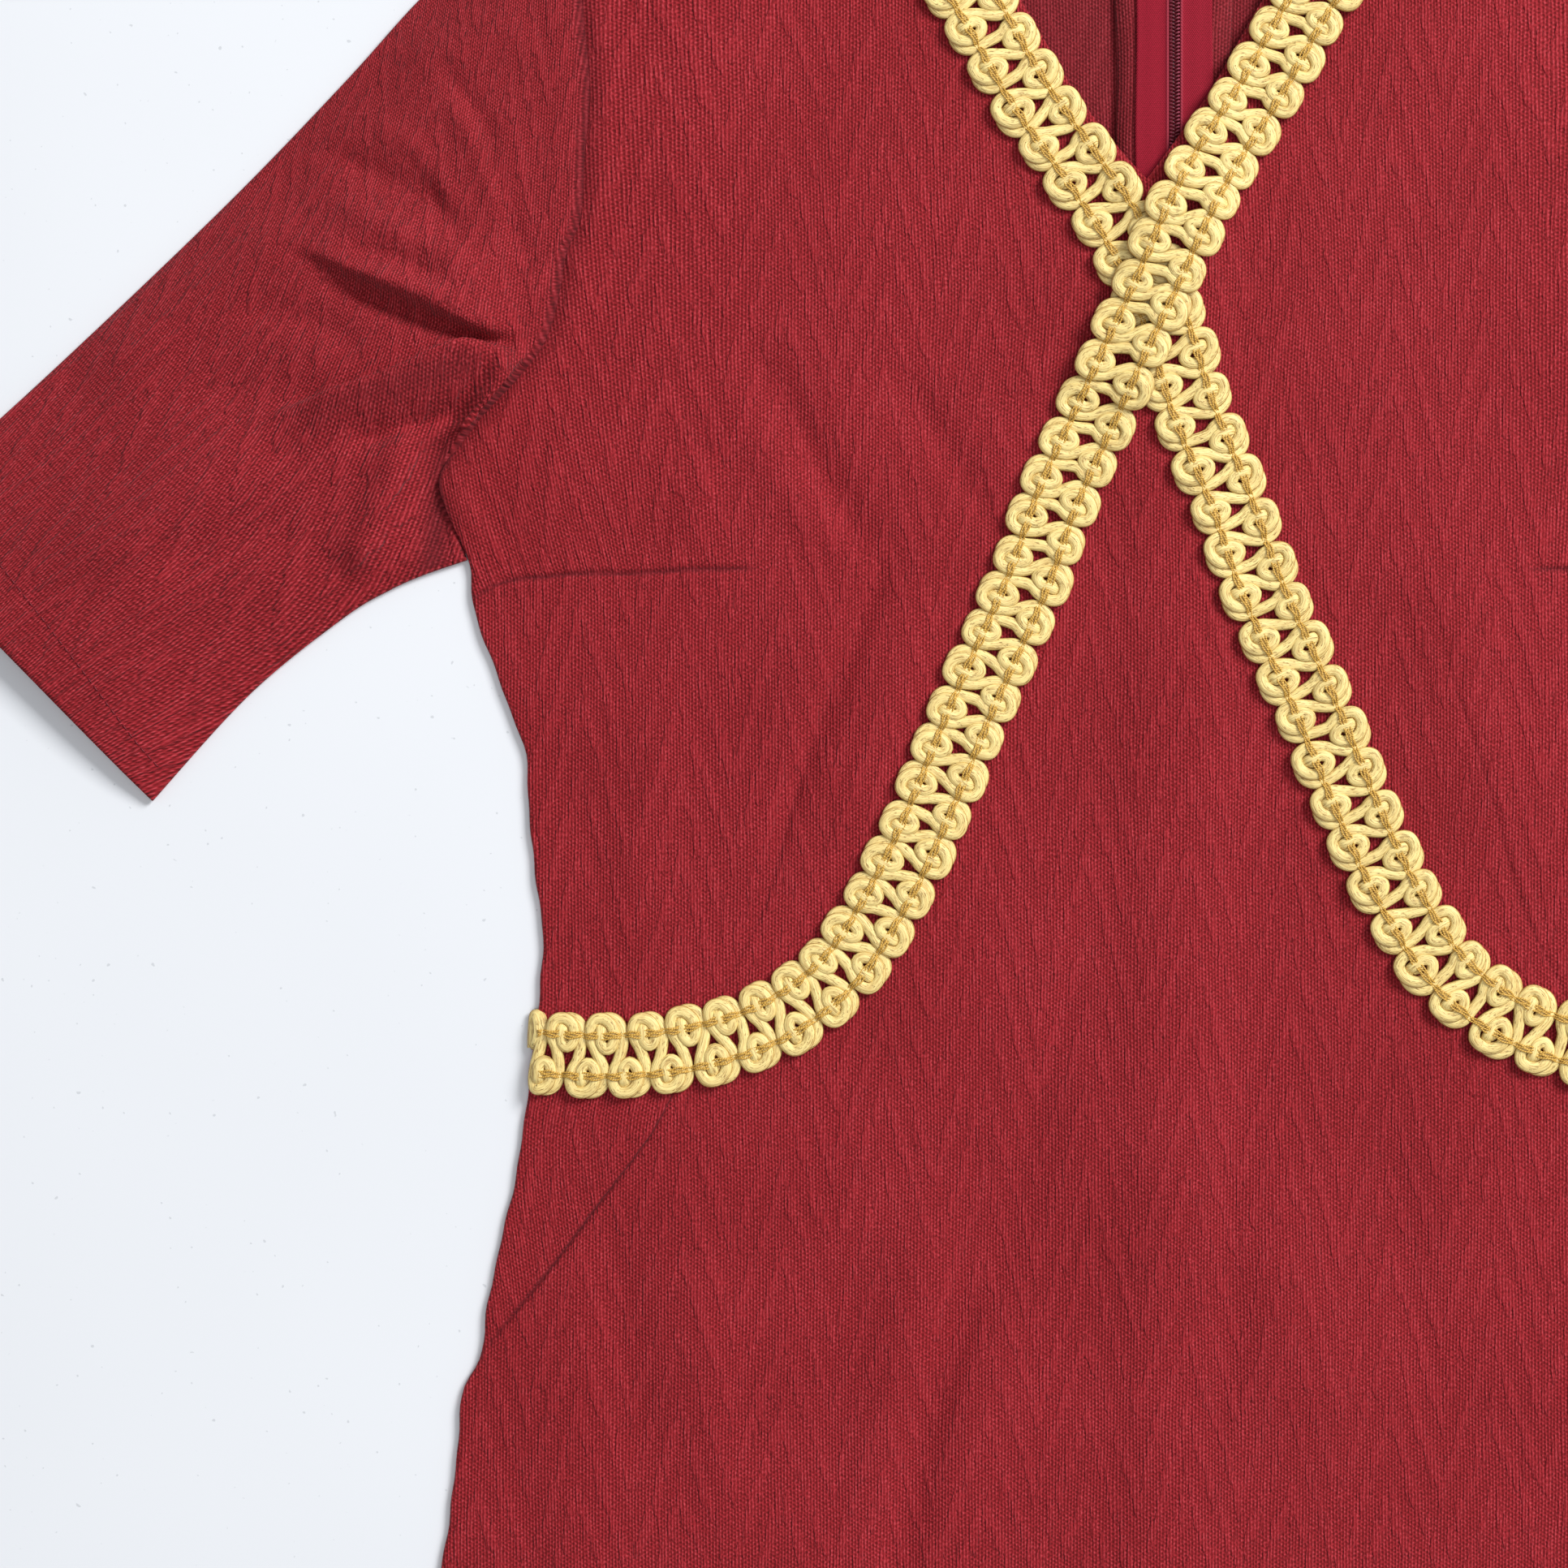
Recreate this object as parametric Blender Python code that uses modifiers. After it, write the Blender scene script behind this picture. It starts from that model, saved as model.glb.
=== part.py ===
"""A long crinkle-knit dress with a V neck, set-in sleeves, a back zip and two crossing lengths of
gold scroll braid, laid flat on its back.

Built in metres, +Z up. The underside of the back lies on z = 0, +X is the wearer's left and +Y runs
from the hem to the neck. Sizes below are in millimetres. A place on the cloth is given by its
distance out from the centre front and its distance down from the neck point of the shoulder.
"""

import bisect
import math

import bmesh
import bpy
from mathutils import Matrix, Vector
from mathutils.bvhtree import BVHTree

MM = 0.001

# Garment sizes
LENGTH = 1380.0
HALF_HEM = 364.0
HEM_SIDE_DOWN = 1356.0
NECK_OUT = 86.5
V_DEPTH = 134.0
BACK_NECK_DEPTH = 23.0
SHOULDER_OUT = 180.0
SHOULDER_DROP = 34.6
UNDERARM_DOWN = 253.8

# Cloth and the lie of its layers
CLOTH = 1.2
SEAM_GAP = 0.3
PILE_TOP = 2.0 * CLOTH + SEAM_GAP
ROLL = PILE_TOP / 2.0
ALLOWANCE = 18.5
SEAM_BLEND = 8.0
FOLD_FADE = 0.3

# Where the cloth is drawn to one side at the crossing
NUDGE = 3.0
NUDGE_DOWN = 165.0
NUDGE_HALF_HEIGHT = 32.0
NUDGE_HALF_WIDTH = 70.0

# How high the front lies over the layers under it
BODY_LIFT = 1.6
LIFT_REACH = 40.0
NECK_REACH = 26.0
BUST_RISE = 2.6
BUST_OUT = 108.0
BUST_DOWN = 285.0
BUST_HALF_WIDTH = 46.0
BUST_HALF_HEIGHT = 70.0
SKIRT_LIFT = 1.6
SKIRT_START = 560.0
SKIRT_FULL = 900.0
OVER_COIL = 4.4
OVER_TAPE = 2.2
COIL_REACH = 6.0
TAPE_REACH = 24.0
ZIP_FADE_START = 22.0
ZIP_FADE_END = 52.0

# Zip
ZIP_OUT = 10.3
ZIP_END = 520.0
COIL_HALF = 1.4
TAPE_HALF = 12.2
TAPE_LIFT = PILE_TOP + SEAM_GAP
TAPE_THICK = 1.0
COIL_THICK = 1.8
SLIDER_LENGTH = 8.5
PIVOT_AHEAD = 4.4
PIVOT_HEIGHT = 2.2
PIN_RADIUS = 0.6
EYE_RADIUS = 1.85
EYE_BORE = 0.95
TAB_LENGTH = 18.5
TAB_DROOP = 3.5
TAB_HALF_THICK = 0.5
TAB_HALF = 2.6
TAB_NECK_HALF = 1.1
TAB_CORNER = 1.6
NECK_CLEAR = 0.4
PLATE_HALF = 3.1
PLATE_THICK = 1.6
PLATE_OVERHANG = 2.2
POST_HALF = 1.0
EAR_OUTER = 2.5
EAR_INNER = 1.5
EAR_LOW = 1.2
EAR_TOP = 3.2
PIN_LENGTH = 4.4
EYE_WIDTH = 2.2

# Braid
BRAID_PITCH = 13.5
BRAID_HALF = 13.4
SCALLOP_VALLEY = 11.4
STITCH_ROW = 6.2
GAP_HALF_BASE = 3.5
GAP_APEX = 2.2
BRAID_THICK = 2.6
BRAID_LIFT = 0.45
CROSSING_RISE = 3.7
CROSSING_FULL = 30.0
CROSSING_END = 46.0
UNIT_STEPS = 12
SAMPLE_REACH = 3.5

# Side, armhole and shoulder edge of the front: down from the neck point, out from the centre
OUTLINE = (
    (34.6, 180.0),
    (76.9, 177.9),
    (103.6, 175.6),
    (125.6, 177.2),
    (146.2, 178.7),
    (156.9, 183.1),
    (170.3, 185.4),
    (185.4, 190.3),
    (196.9, 199.2),
    (207.7, 209.5),
    (221.5, 219.2),
    (228.7, 222.3),
    (239.5, 219.2),
    (253.8, 213.1),
    (268.0, 211.5),
    (284.9, 205.9),
    (302.8, 199.2),
    (314.4, 195.1),
    (341.0, 193.3),
    (370.0, 189.7),
    (382.6, 189.7),
    (418.2, 193.8),
    (445.4, 197.4),
    (486.2, 206.4),
    (506.7, 209.5),
    (515.6, 214.4),
    (544.1, 217.4),
    (572.3, 221.5),
    (900.0, 279.5),
    (HEM_SIDE_DOWN, HALF_HEM),
)

# V neck edge: down from the neck point, out from the centre
NECK_EDGE = (
    (0.0, NECK_OUT),
    (40.0, 61.5),
    (79.5, 36.5),
    (106.4, 21.0),
    (126.0, 6.5),
    (V_DEPTH, 0.0),
)

# Rows of the body panels: from down, to down, number of steps
ROW_BANDS = (
    (SHOULDER_DROP, V_DEPTH, 6),
    (V_DEPTH, 185.4, 5),
    (185.4, 228.7, 5),
    (228.7, UNDERARM_DOWN, 2),
    (UNDERARM_DOWN, 284.9, 3),
    (284.9, 572.3, 12),
    (572.3, HEM_SIDE_DOWN, 9),
)

# Braid's middle line from one shoulder to the far side seam: across to the start side, down
BRAID_LINE = (
    (98.6, 9.5),
    (76.4, 43.0),
    (53.6, 76.9),
    (37.2, 105.5),
    (20.8, 130.0),
    (7.4, 153.0),
    (-5.8, 183.0),
    (-15.0, 207.2),
    (-27.0, 234.6),
    (-36.6, 261.5),
    (-53.2, 298.7),
    (-68.4, 335.4),
    (-81.0, 361.3),
    (-96.4, 384.1),
    (-117.2, 399.5),
    (-142.8, 407.7),
    (-168.0, 410.3),
    (-187.5, 409.6),
)

# Large folds of the front: from across, from down, to across, to down, half width, height
FRONT_FOLDS = (
    (-9.5, 372.0, -43.0, 497.0, 11.0, -1.2),
    (24.0, 490.0, -46.0, 700.0, 13.0, -1.4),
    (-54.0, 470.0, -64.0, 640.0, 15.0, 1.3),
    (-91.0, 250.0, -122.0, 372.0, 16.0, 1.2),
    (-142.0, 215.0, -141.0, 262.0, 12.0, 0.8),
    (86.0, 240.0, 118.0, 360.0, 17.0, 1.3),
    (150.0, 225.0, 158.0, 300.0, 12.0, 1.0),
    (34.0, 420.0, 62.0, 560.0, 14.0, 1.2),
    (-62.0, 620.0, -116.0, LENGTH, 26.0, 4.6),
    (-140.0, 700.0, -232.0, LENGTH, 24.0, 4.0),
    (-215.0, 860.0, -318.0, LENGTH, 22.0, 3.2),
    (26.0, 600.0, 30.0, LENGTH, 24.0, 3.6),
    (96.0, 560.0, 138.0, LENGTH, 26.0, 4.4),
    (158.0, 720.0, 236.0, LENGTH, 24.0, 4.2),
    (232.0, 900.0, 322.0, LENGTH, 20.0, 3.0),
)

# Sleeve edges: out from the centre, down
SLEEVE_TOP_EDGE = (
    (SHOULDER_OUT, SHOULDER_DROP),
    (207.5, 56.5),
    (229.2, 76.9),
    (252.6, 102.8),
    (290.0, 141.5),
    (344.0, 193.0),
    (398.0, 242.0),
)
SLEEVE_LOW_EDGE = (
    (213.1, UNDERARM_DOWN),
    (227.2, 258.5),
    (238.0, 263.3),
    (252.6, 272.1),
    (282.0, 296.0),
    (313.0, 330.0),
)
SLEEVE_SECTIONS = 10

# Folds of each sleeve: from out, from down, to out, to down, half width, height
SLEEVE_FOLDS = {
    "left": (
        (256.0, 170.0, 199.0, 188.0, 7.0, -3.6),
        (250.0, 182.0, 198.0, 194.0, 6.0, 5.2),
        (244.0, 190.0, 210.0, 206.0, 6.0, -2.6),
        (233.0, 210.0, 232.0, 246.0, 6.0, 4.6),
        (224.0, 214.0, 222.0, 246.0, 5.0, -3.4),
        (330.0, 200.0, 262.0, 146.0, 12.0, 2.8),
        (344.0, 262.0, 272.0, 214.0, 14.0, 3.4),
        (236.0, 100.0, 196.0, 84.0, 12.0, 1.8),
    ),
    "right": (
        (262.0, 158.0, 196.0, 180.0, 8.0, -3.2),
        (252.0, 176.0, 202.0, 196.0, 7.0, 4.8),
        (246.0, 200.0, 214.0, 214.0, 6.0, -2.8),
        (238.0, 214.0, 234.0, 248.0, 6.0, 4.0),
        (336.0, 214.0, 256.0, 160.0, 13.0, 3.2),
        (350.0, 276.0, 280.0, 236.0, 12.0, 2.8),
        (230.0, 92.0, 198.0, 88.0, 13.0, 2.0),
    ),
}


def ease(start, end, value):
    """Smooth step from 0 at start to 1 at end."""
    share = min(1.0, max(0.0, (value - start) / (end - start)))
    return share * share * (3.0 - 2.0 * share)


def mix(first, second, share):
    return first + (second - first) * share


def read_table(table, value):
    """Second column of a table at a value of its first, on a smooth curve through its rows."""
    keys = [row[0] for row in table]
    last = len(table) - 1
    at = min(max(bisect.bisect_right(keys, value) - 1, 0), last - 1)
    slopes = []
    for index in (at, at + 1):
        low = max(index - 1, 0)
        high = min(index + 1, last)
        slopes.append((table[high][1] - table[low][1]) / (keys[high] - keys[low]))
    span = keys[at + 1] - keys[at]
    t = min(1.0, max(0.0, (value - keys[at]) / span))
    start, end = table[at][1], table[at + 1][1]
    curve = (2 * t**3 - 3 * t**2 + 1) * start + (3 * t**2 - 2 * t**3) * end
    return curve + ((t**3 - 2 * t**2 + t) * slopes[0] + (t**3 - t**2) * slopes[1]) * span


def smooth_line(points, steps):
    """Evenly spaced points on a smooth curve through the given ones, and its length."""
    fine = []
    for index in range(len(points) - 1):
        before = Vector(points[max(index - 1, 0)])
        start = Vector(points[index])
        end = Vector(points[index + 1])
        after = Vector(points[min(index + 2, len(points) - 1)])
        for step in range(24):
            t = step / 24
            fine.append(
                0.5 * (2 * start + (end - before) * t + (2 * before - 5 * start + 4 * end - after) * t**2
                       + (3 * start - before - 3 * end + after) * t**3)
            )
    fine.append(Vector(points[-1]))
    lengths = [0.0]
    for index in range(1, len(fine)):
        lengths.append(lengths[-1] + (fine[index] - fine[index - 1]).length)
    line = []
    for step in range(steps + 1):
        target = lengths[-1] * step / steps
        at = min(max(bisect.bisect_right(lengths, target) - 1, 0), len(fine) - 2)
        share = (target - lengths[at]) / (lengths[at + 1] - lengths[at])
        line.append(fine[at].lerp(fine[at + 1], share))
    return line, lengths[-1]


def fold_height(folds, across, down):
    """Sum of the soft ridges and troughs at one place; each fades towards its ends."""
    height = 0.0
    for from_x, from_down, to_x, to_down, half_width, rise in folds:
        run = Vector((to_x - from_x, to_down - from_down))
        reach = Vector((across - from_x, down - from_down))
        share = min(1.0, max(0.0, reach.dot(run) / run.length_squared))
        away = (reach - run * share).length / half_width
        tail = ease(0.0, FOLD_FADE, share)
        if to_down < LENGTH:
            tail *= ease(0.0, FOLD_FADE, 1.0 - share)
        height += rise * tail * math.exp(-away * away)
    return height


def nudge(across, down):
    """Small sideways shift of the cloth at the crossing, as it lies."""
    by_down = math.exp(-(((down - NUDGE_DOWN) / NUDGE_HALF_HEIGHT) ** 2))
    return NUDGE * by_down * math.exp(-((across / NUDGE_HALF_WIDTH) ** 2))


def place(across, down, height):
    """A point of the model, in metres, from a place on the cloth and a height, in millimetres."""
    return Vector((across + nudge(across, down), LENGTH / 2.0 - down, height)) * MM


def zip_across(down):
    """Where the centre back lies under the front: straight along the zip, then in to the middle."""
    return ZIP_OUT * (1.0 - ease(ZIP_END, LENGTH, down))


def outer_edge(down):
    return read_table(OUTLINE, down)


def hem_sag(across, outer_down):
    """How much lower a row hangs at one place than at its side seam, for an even hem when worn."""
    deepest = (LENGTH - HEM_SIDE_DOWN) * ease(UNDERARM_DOWN, HEM_SIDE_DOWN, outer_down)
    return deepest * (1.0 - (across / outer_edge(outer_down)) ** 2)


def side_share(down):
    """0 on the armhole, where the sleeve joins, and 1 on the side seam, which rolls to the floor."""
    return ease(UNDERARM_DOWN - SEAM_BLEND, UNDERARM_DOWN + SEAM_BLEND, down)


def front_height(across, down):
    """Top of the front above the surface that the dress lies on."""
    out = abs(across)
    inside = ease(0.0, LIFT_REACH, outer_edge(down) - out)
    neck = ease(0.0, NECK_REACH, out - read_table(NECK_EDGE, down)) if down < V_DEPTH else 1.0
    lift = BODY_LIFT * inside * neck
    from_bust = ((out - BUST_OUT) / BUST_HALF_WIDTH) ** 2 + ((down - BUST_DOWN) / BUST_HALF_HEIGHT) ** 2
    bust = BUST_RISE * math.exp(-from_bust)
    skirt = SKIRT_LIFT * ease(SKIRT_START, SKIRT_FULL, down) * inside
    top = PILE_TOP + lift + bust + skirt + fold_height(FRONT_FOLDS, across, down) * inside
    from_zip = abs(across - zip_across(down))
    fade = 1.0 - ease(ZIP_FADE_START, ZIP_FADE_END, from_zip)
    over_zip = mix(OVER_COIL, OVER_TAPE, ease(COIL_REACH, TAPE_REACH, from_zip)) * fade
    return max(top, PILE_TOP + over_zip)


def row_downs():
    """Downs of the rows at the outer edge, from the shoulder to the hem."""
    downs = [ROW_BANDS[0][0]]
    for start, end, steps in ROW_BANDS:
        downs += [mix(start, end, (step + 1) / steps) for step in range(steps)]
    return downs


ROWS = row_downs()
UNDERARM_ROW = min(range(len(ROWS)), key=lambda row: abs(ROWS[row] - UNDERARM_DOWN))


def new_material(name, colour, roughness, metallic):
    material = bpy.data.materials.new(name)
    material.use_nodes = True
    shader = material.node_tree.nodes["Principled BSDF"]
    shader.inputs["Base Color"].default_value = (*colour, 1.0)
    shader.inputs["Roughness"].default_value = roughness
    shader.inputs["Metallic"].default_value = metallic
    return material


def new_piece(name, bm, look):
    """Makes a mesh an object of the dress, with its own material."""
    mesh = bpy.data.meshes.new(name)
    bm.to_mesh(mesh)
    bm.free()
    piece = bpy.data.objects.new(name, mesh)
    collection.objects.link(piece)
    mesh.materials.append(new_material(name, *look))
    mesh.shade_smooth()
    mesh.set_sharp_from_angle(angle=math.radians(40.0))
    return piece


def thicken(piece, thickness, side):
    """Gives an open surface its wall: side -1 is behind its faces, 1 in front."""
    wall = piece.modifiers.new("wall", "SOLIDIFY")
    wall.thickness = thickness * MM
    wall.offset = side


def add_grid(bm, columns, rows, spot):
    """A grid whose points are moved to spot(column, row)."""
    made = bmesh.ops.create_grid(bm, x_segments=columns, y_segments=rows, size=1.0)
    for vert in made["verts"]:
        column = round((vert.co.x + 1.0) / 2.0 * columns)
        row = round((vert.co.y + 1.0) / 2.0 * rows)
        vert.co = spot(column, row)


def add_tube(bm, around, sections, spot):
    """A grid closed round on itself, whose points are moved to spot(column, section)."""
    add_grid(bm, around, sections, spot)
    bmesh.ops.remove_doubles(bm, verts=bm.verts, dist=0.01 * MM)


# Front, one piece with no centre or waist seam
FRONT_COLUMNS = 12
FLAT_EDGE = (0.0, 0.6, 1.2, 1.8)
ROLLED_EDGE = ((0.0, 0.2), (0.0, ROLL), (0.4, 2.25), (ROLL, PILE_TOP))
FRONT_ROLL = len(FLAT_EDGE)


def front_point(side, from_edge, row):
    """A point of one half of the front, counted in from its outer edge; side is -1 or 1."""
    outer_down = ROWS[row]
    inner_down = outer_down
    inner = 0.0
    if outer_down < V_DEPTH:
        inner_down = V_DEPTH * (outer_down - SHOULDER_DROP) / (V_DEPTH - SHOULDER_DROP)
        inner = max(0.0, read_table(NECK_EDGE, inner_down))
    edge = outer_edge(outer_down)
    seam = side_share(outer_down)
    if from_edge < FRONT_ROLL:
        rolled_in, rolled_height = ROLLED_EDGE[from_edge]
        out = edge - mix(FLAT_EDGE[from_edge], rolled_in, seam)
        down = outer_down + hem_sag(out, outer_down)
        return place(side * out, down, mix(PILE_TOP, rolled_height, seam))
    share = (from_edge - FRONT_ROLL + 1) / FRONT_COLUMNS
    out = mix(edge - FLAT_EDGE[-1], inner, share)
    down = mix(outer_down, inner_down, share) + hem_sag(out, outer_down)
    return place(side * out, down, front_height(side * out, down))


def build_front():
    bm = bmesh.new()
    columns = FRONT_COLUMNS + FRONT_ROLL - 1
    last_row = len(ROWS) - 1
    add_grid(bm, columns, last_row, lambda column, row: front_point(-1, column, last_row - row))
    add_grid(bm, columns, last_row, lambda column, row: front_point(1, columns - column, last_row - row))
    bmesh.ops.remove_doubles(bm, verts=bm.verts, dist=0.02 * MM)
    piece = new_piece("front", bm, ((0.36, 0.022, 0.034), 0.8, 0.0))
    thicken(piece, CLOTH, -1.0)
    return piece


# Back, two panels whose centre edges fold in as the zip's seam allowances
BACK_NECK_COLUMNS = 3
BACK_SHOULDER_COLUMNS = 2
BACK_FOLD = 4
BACK_FIRST_STEP = 8.0
ROLL_CLEAR_START = 24.0
ROLL_CLEAR_FULL = 13.0


def back_top_down(across):
    """Down of the back's neckline and shoulder at one place across."""
    out = abs(across)
    if out < NECK_OUT:
        return BACK_NECK_DEPTH * math.sqrt(1.0 - (out / NECK_OUT) ** 4)
    return SHOULDER_DROP * (out - NECK_OUT) / (SHOULDER_OUT - NECK_OUT)


def back_point(side, from_centre, row):
    """A point of a back panel's lower skin, counted out from the free edge of its allowance."""
    outer_down = ROWS[row]
    body = max(0, from_centre - BACK_FOLD)
    neck_x = side * (NECK_OUT - 0.01)
    top_x = mix(zip_across(0.0), neck_x, body / BACK_NECK_COLUMNS)
    if body > BACK_NECK_COLUMNS:
        top_x = mix(neck_x, side * SHOULDER_OUT, (body - BACK_NECK_COLUMNS) / BACK_SHOULDER_COLUMNS)
    share = (top_x - zip_across(0.0)) / (side * SHOULDER_OUT - zip_across(0.0))
    drop = min(1.0, (outer_down - SHOULDER_DROP) / (V_DEPTH - SHOULDER_DROP))
    down = mix(back_top_down(top_x), V_DEPTH, drop) if drop < 1.0 else outer_down
    centre = zip_across(down)
    under_roll = ease(UNDERARM_DOWN - ROLL_CLEAR_START, UNDERARM_DOWN - ROLL_CLEAR_FULL, outer_down)
    edge = side * (outer_edge(outer_down) - (CLOTH + SEAM_GAP) * under_roll)
    if from_centre < BACK_FOLD:
        half_gap = SEAM_GAP / 2.0
        out = (ALLOWANCE, ROLL + half_gap, half_gap, ROLL + half_gap)[from_centre]
        height = (PILE_TOP, PILE_TOP, ROLL, 0.0)[from_centre]
        return place(centre + side * out, down + hem_sag(centre, outer_down), height)
    start = centre + side * (ROLL + SEAM_GAP)
    if body == 0:
        start += side * BACK_FIRST_STEP
    across = mix(start, edge, share)
    return place(across, down + hem_sag(across, outer_down), 0.0)


def build_back(name, side):
    bm = bmesh.new()
    columns = BACK_FOLD + BACK_NECK_COLUMNS + BACK_SHOULDER_COLUMNS
    last_row = len(ROWS) - 1

    def spot(column, row):
        from_centre = column if side < 0 else columns - column
        return back_point(side, from_centre, last_row - row)

    add_grid(bm, columns, last_row, spot)
    piece = new_piece(name, bm, ((0.30, 0.02, 0.03), 0.85, 0.0))
    thicken(piece, CLOTH, -1.0)
    return piece


# Sleeves, flattened tubes set into the armholes
SHOULDER_CLEAR = 0.9
SHOULDER_CLEAR_REACH = 18.0
SLEEVE_FULLNESS = 4.2
SLEEVE_FULL_ALONG = 0.25
SLEEVE_LIFT = 0.8
LIFT_SLOPE = 3.0
FOLD_SLOPE = 5.0
FOLD_START_ALONG = 0.12


def sleeve_patch(side):
    """Plan of a sleeve: across and down at a share along it and a column round the armhole."""
    armhole = []
    for down in ROWS[:UNDERARM_ROW + 1]:
        below_shoulder = ease(SHOULDER_DROP, SHOULDER_DROP + SHOULDER_CLEAR_REACH, down)
        clear = SEAM_GAP + SHOULDER_CLEAR * (1.0 - below_shoulder)
        armhole.append(Vector((outer_edge(down) + clear, down)))
    low_edge, _ = smooth_line([armhole[-1]] + list(SLEEVE_LOW_EDGE[1:]), SLEEVE_SECTIONS)
    top_edge, _ = smooth_line([armhole[0]] + list(SLEEVE_TOP_EDGE[1:]), SLEEVE_SECTIONS)
    reach = [0.0]
    for index in range(1, len(armhole)):
        reach.append(reach[-1] + (armhole[index] - armhole[index - 1]).length)

    def spot(section, column):
        along = section / SLEEVE_SECTIONS
        share = reach[column] / reach[-1]
        cuff = top_edge[-1].lerp(low_edge[-1], share)
        across_edges = top_edge[section].lerp(low_edge[section], share)
        along_ends = armhole[column].lerp(cuff, along)
        corners = armhole[0].lerp(armhole[-1], share).lerp(cuff, along)
        return across_edges + along_ends - corners

    return spot, len(armhole) - 1


def sleeve_height(folds, along, share, out, down):
    """Top of a sleeve's upper layer."""
    middle = math.sin(math.pi * min(1.0, max(0.0, share)))
    fullness = SLEEVE_FULLNESS * middle * ease(0.0, SLEEVE_FULL_ALONG, along)
    lift = SLEEVE_LIFT * min(1.0, LIFT_SLOPE * middle)
    inside = ease(0.0, FOLD_START_ALONG, along) * min(1.0, FOLD_SLOPE * middle)
    return PILE_TOP + max(0.0, fullness + lift * inside + fold_height(folds, out, down) * inside)


def build_sleeve(name, side, folds):
    spot, columns = sleeve_patch(side)
    upper = list(range(1, columns))
    loop = [("edge", 0), ("upper", 0)] + [("upper", column) for column in upper] + [("upper", columns)]
    loop += [("edge", columns), ("lower", columns)] + [("lower", column) for column in reversed(upper)]
    loop += [("lower", 0)]

    def tube_point(index, section):
        layer, column = loop[index % len(loop)]
        plan = spot(section, column)
        if column in (0, columns) and layer != "edge":
            inward = spot(section, 1 if column == 0 else columns - 1) - plan
            plan = plan + inward.normalized() * ROLL
        height = {"edge": ROLL, "lower": 0.0, "upper": PILE_TOP}[layer]
        if layer == "upper" and column not in (0, columns):
            height = sleeve_height(folds, section / SLEEVE_SECTIONS, column / columns, plan.x, plan.y)
        return place(side * plan.x, plan.y, height)

    def ordered(index, section):
        return tube_point(index if side < 0 else len(loop) - index, SLEEVE_SECTIONS - section)

    bm = bmesh.new()
    add_tube(bm, len(loop), SLEEVE_SECTIONS, ordered)
    bmesh.ops.recalc_face_normals(bm, faces=bm.faces)
    centre = sum((vert.co for vert in bm.verts), Vector()) / len(bm.verts)
    facing = sum((face.calc_center_median() - centre).z * face.normal.z for face in bm.faces)
    if facing < 0.0:
        bmesh.ops.reverse_faces(bm, faces=bm.faces)
    piece = new_piece(name, bm, ((0.36, 0.022, 0.034), 0.8, 0.0))
    thicken(piece, CLOTH, -1.0)
    return piece


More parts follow.
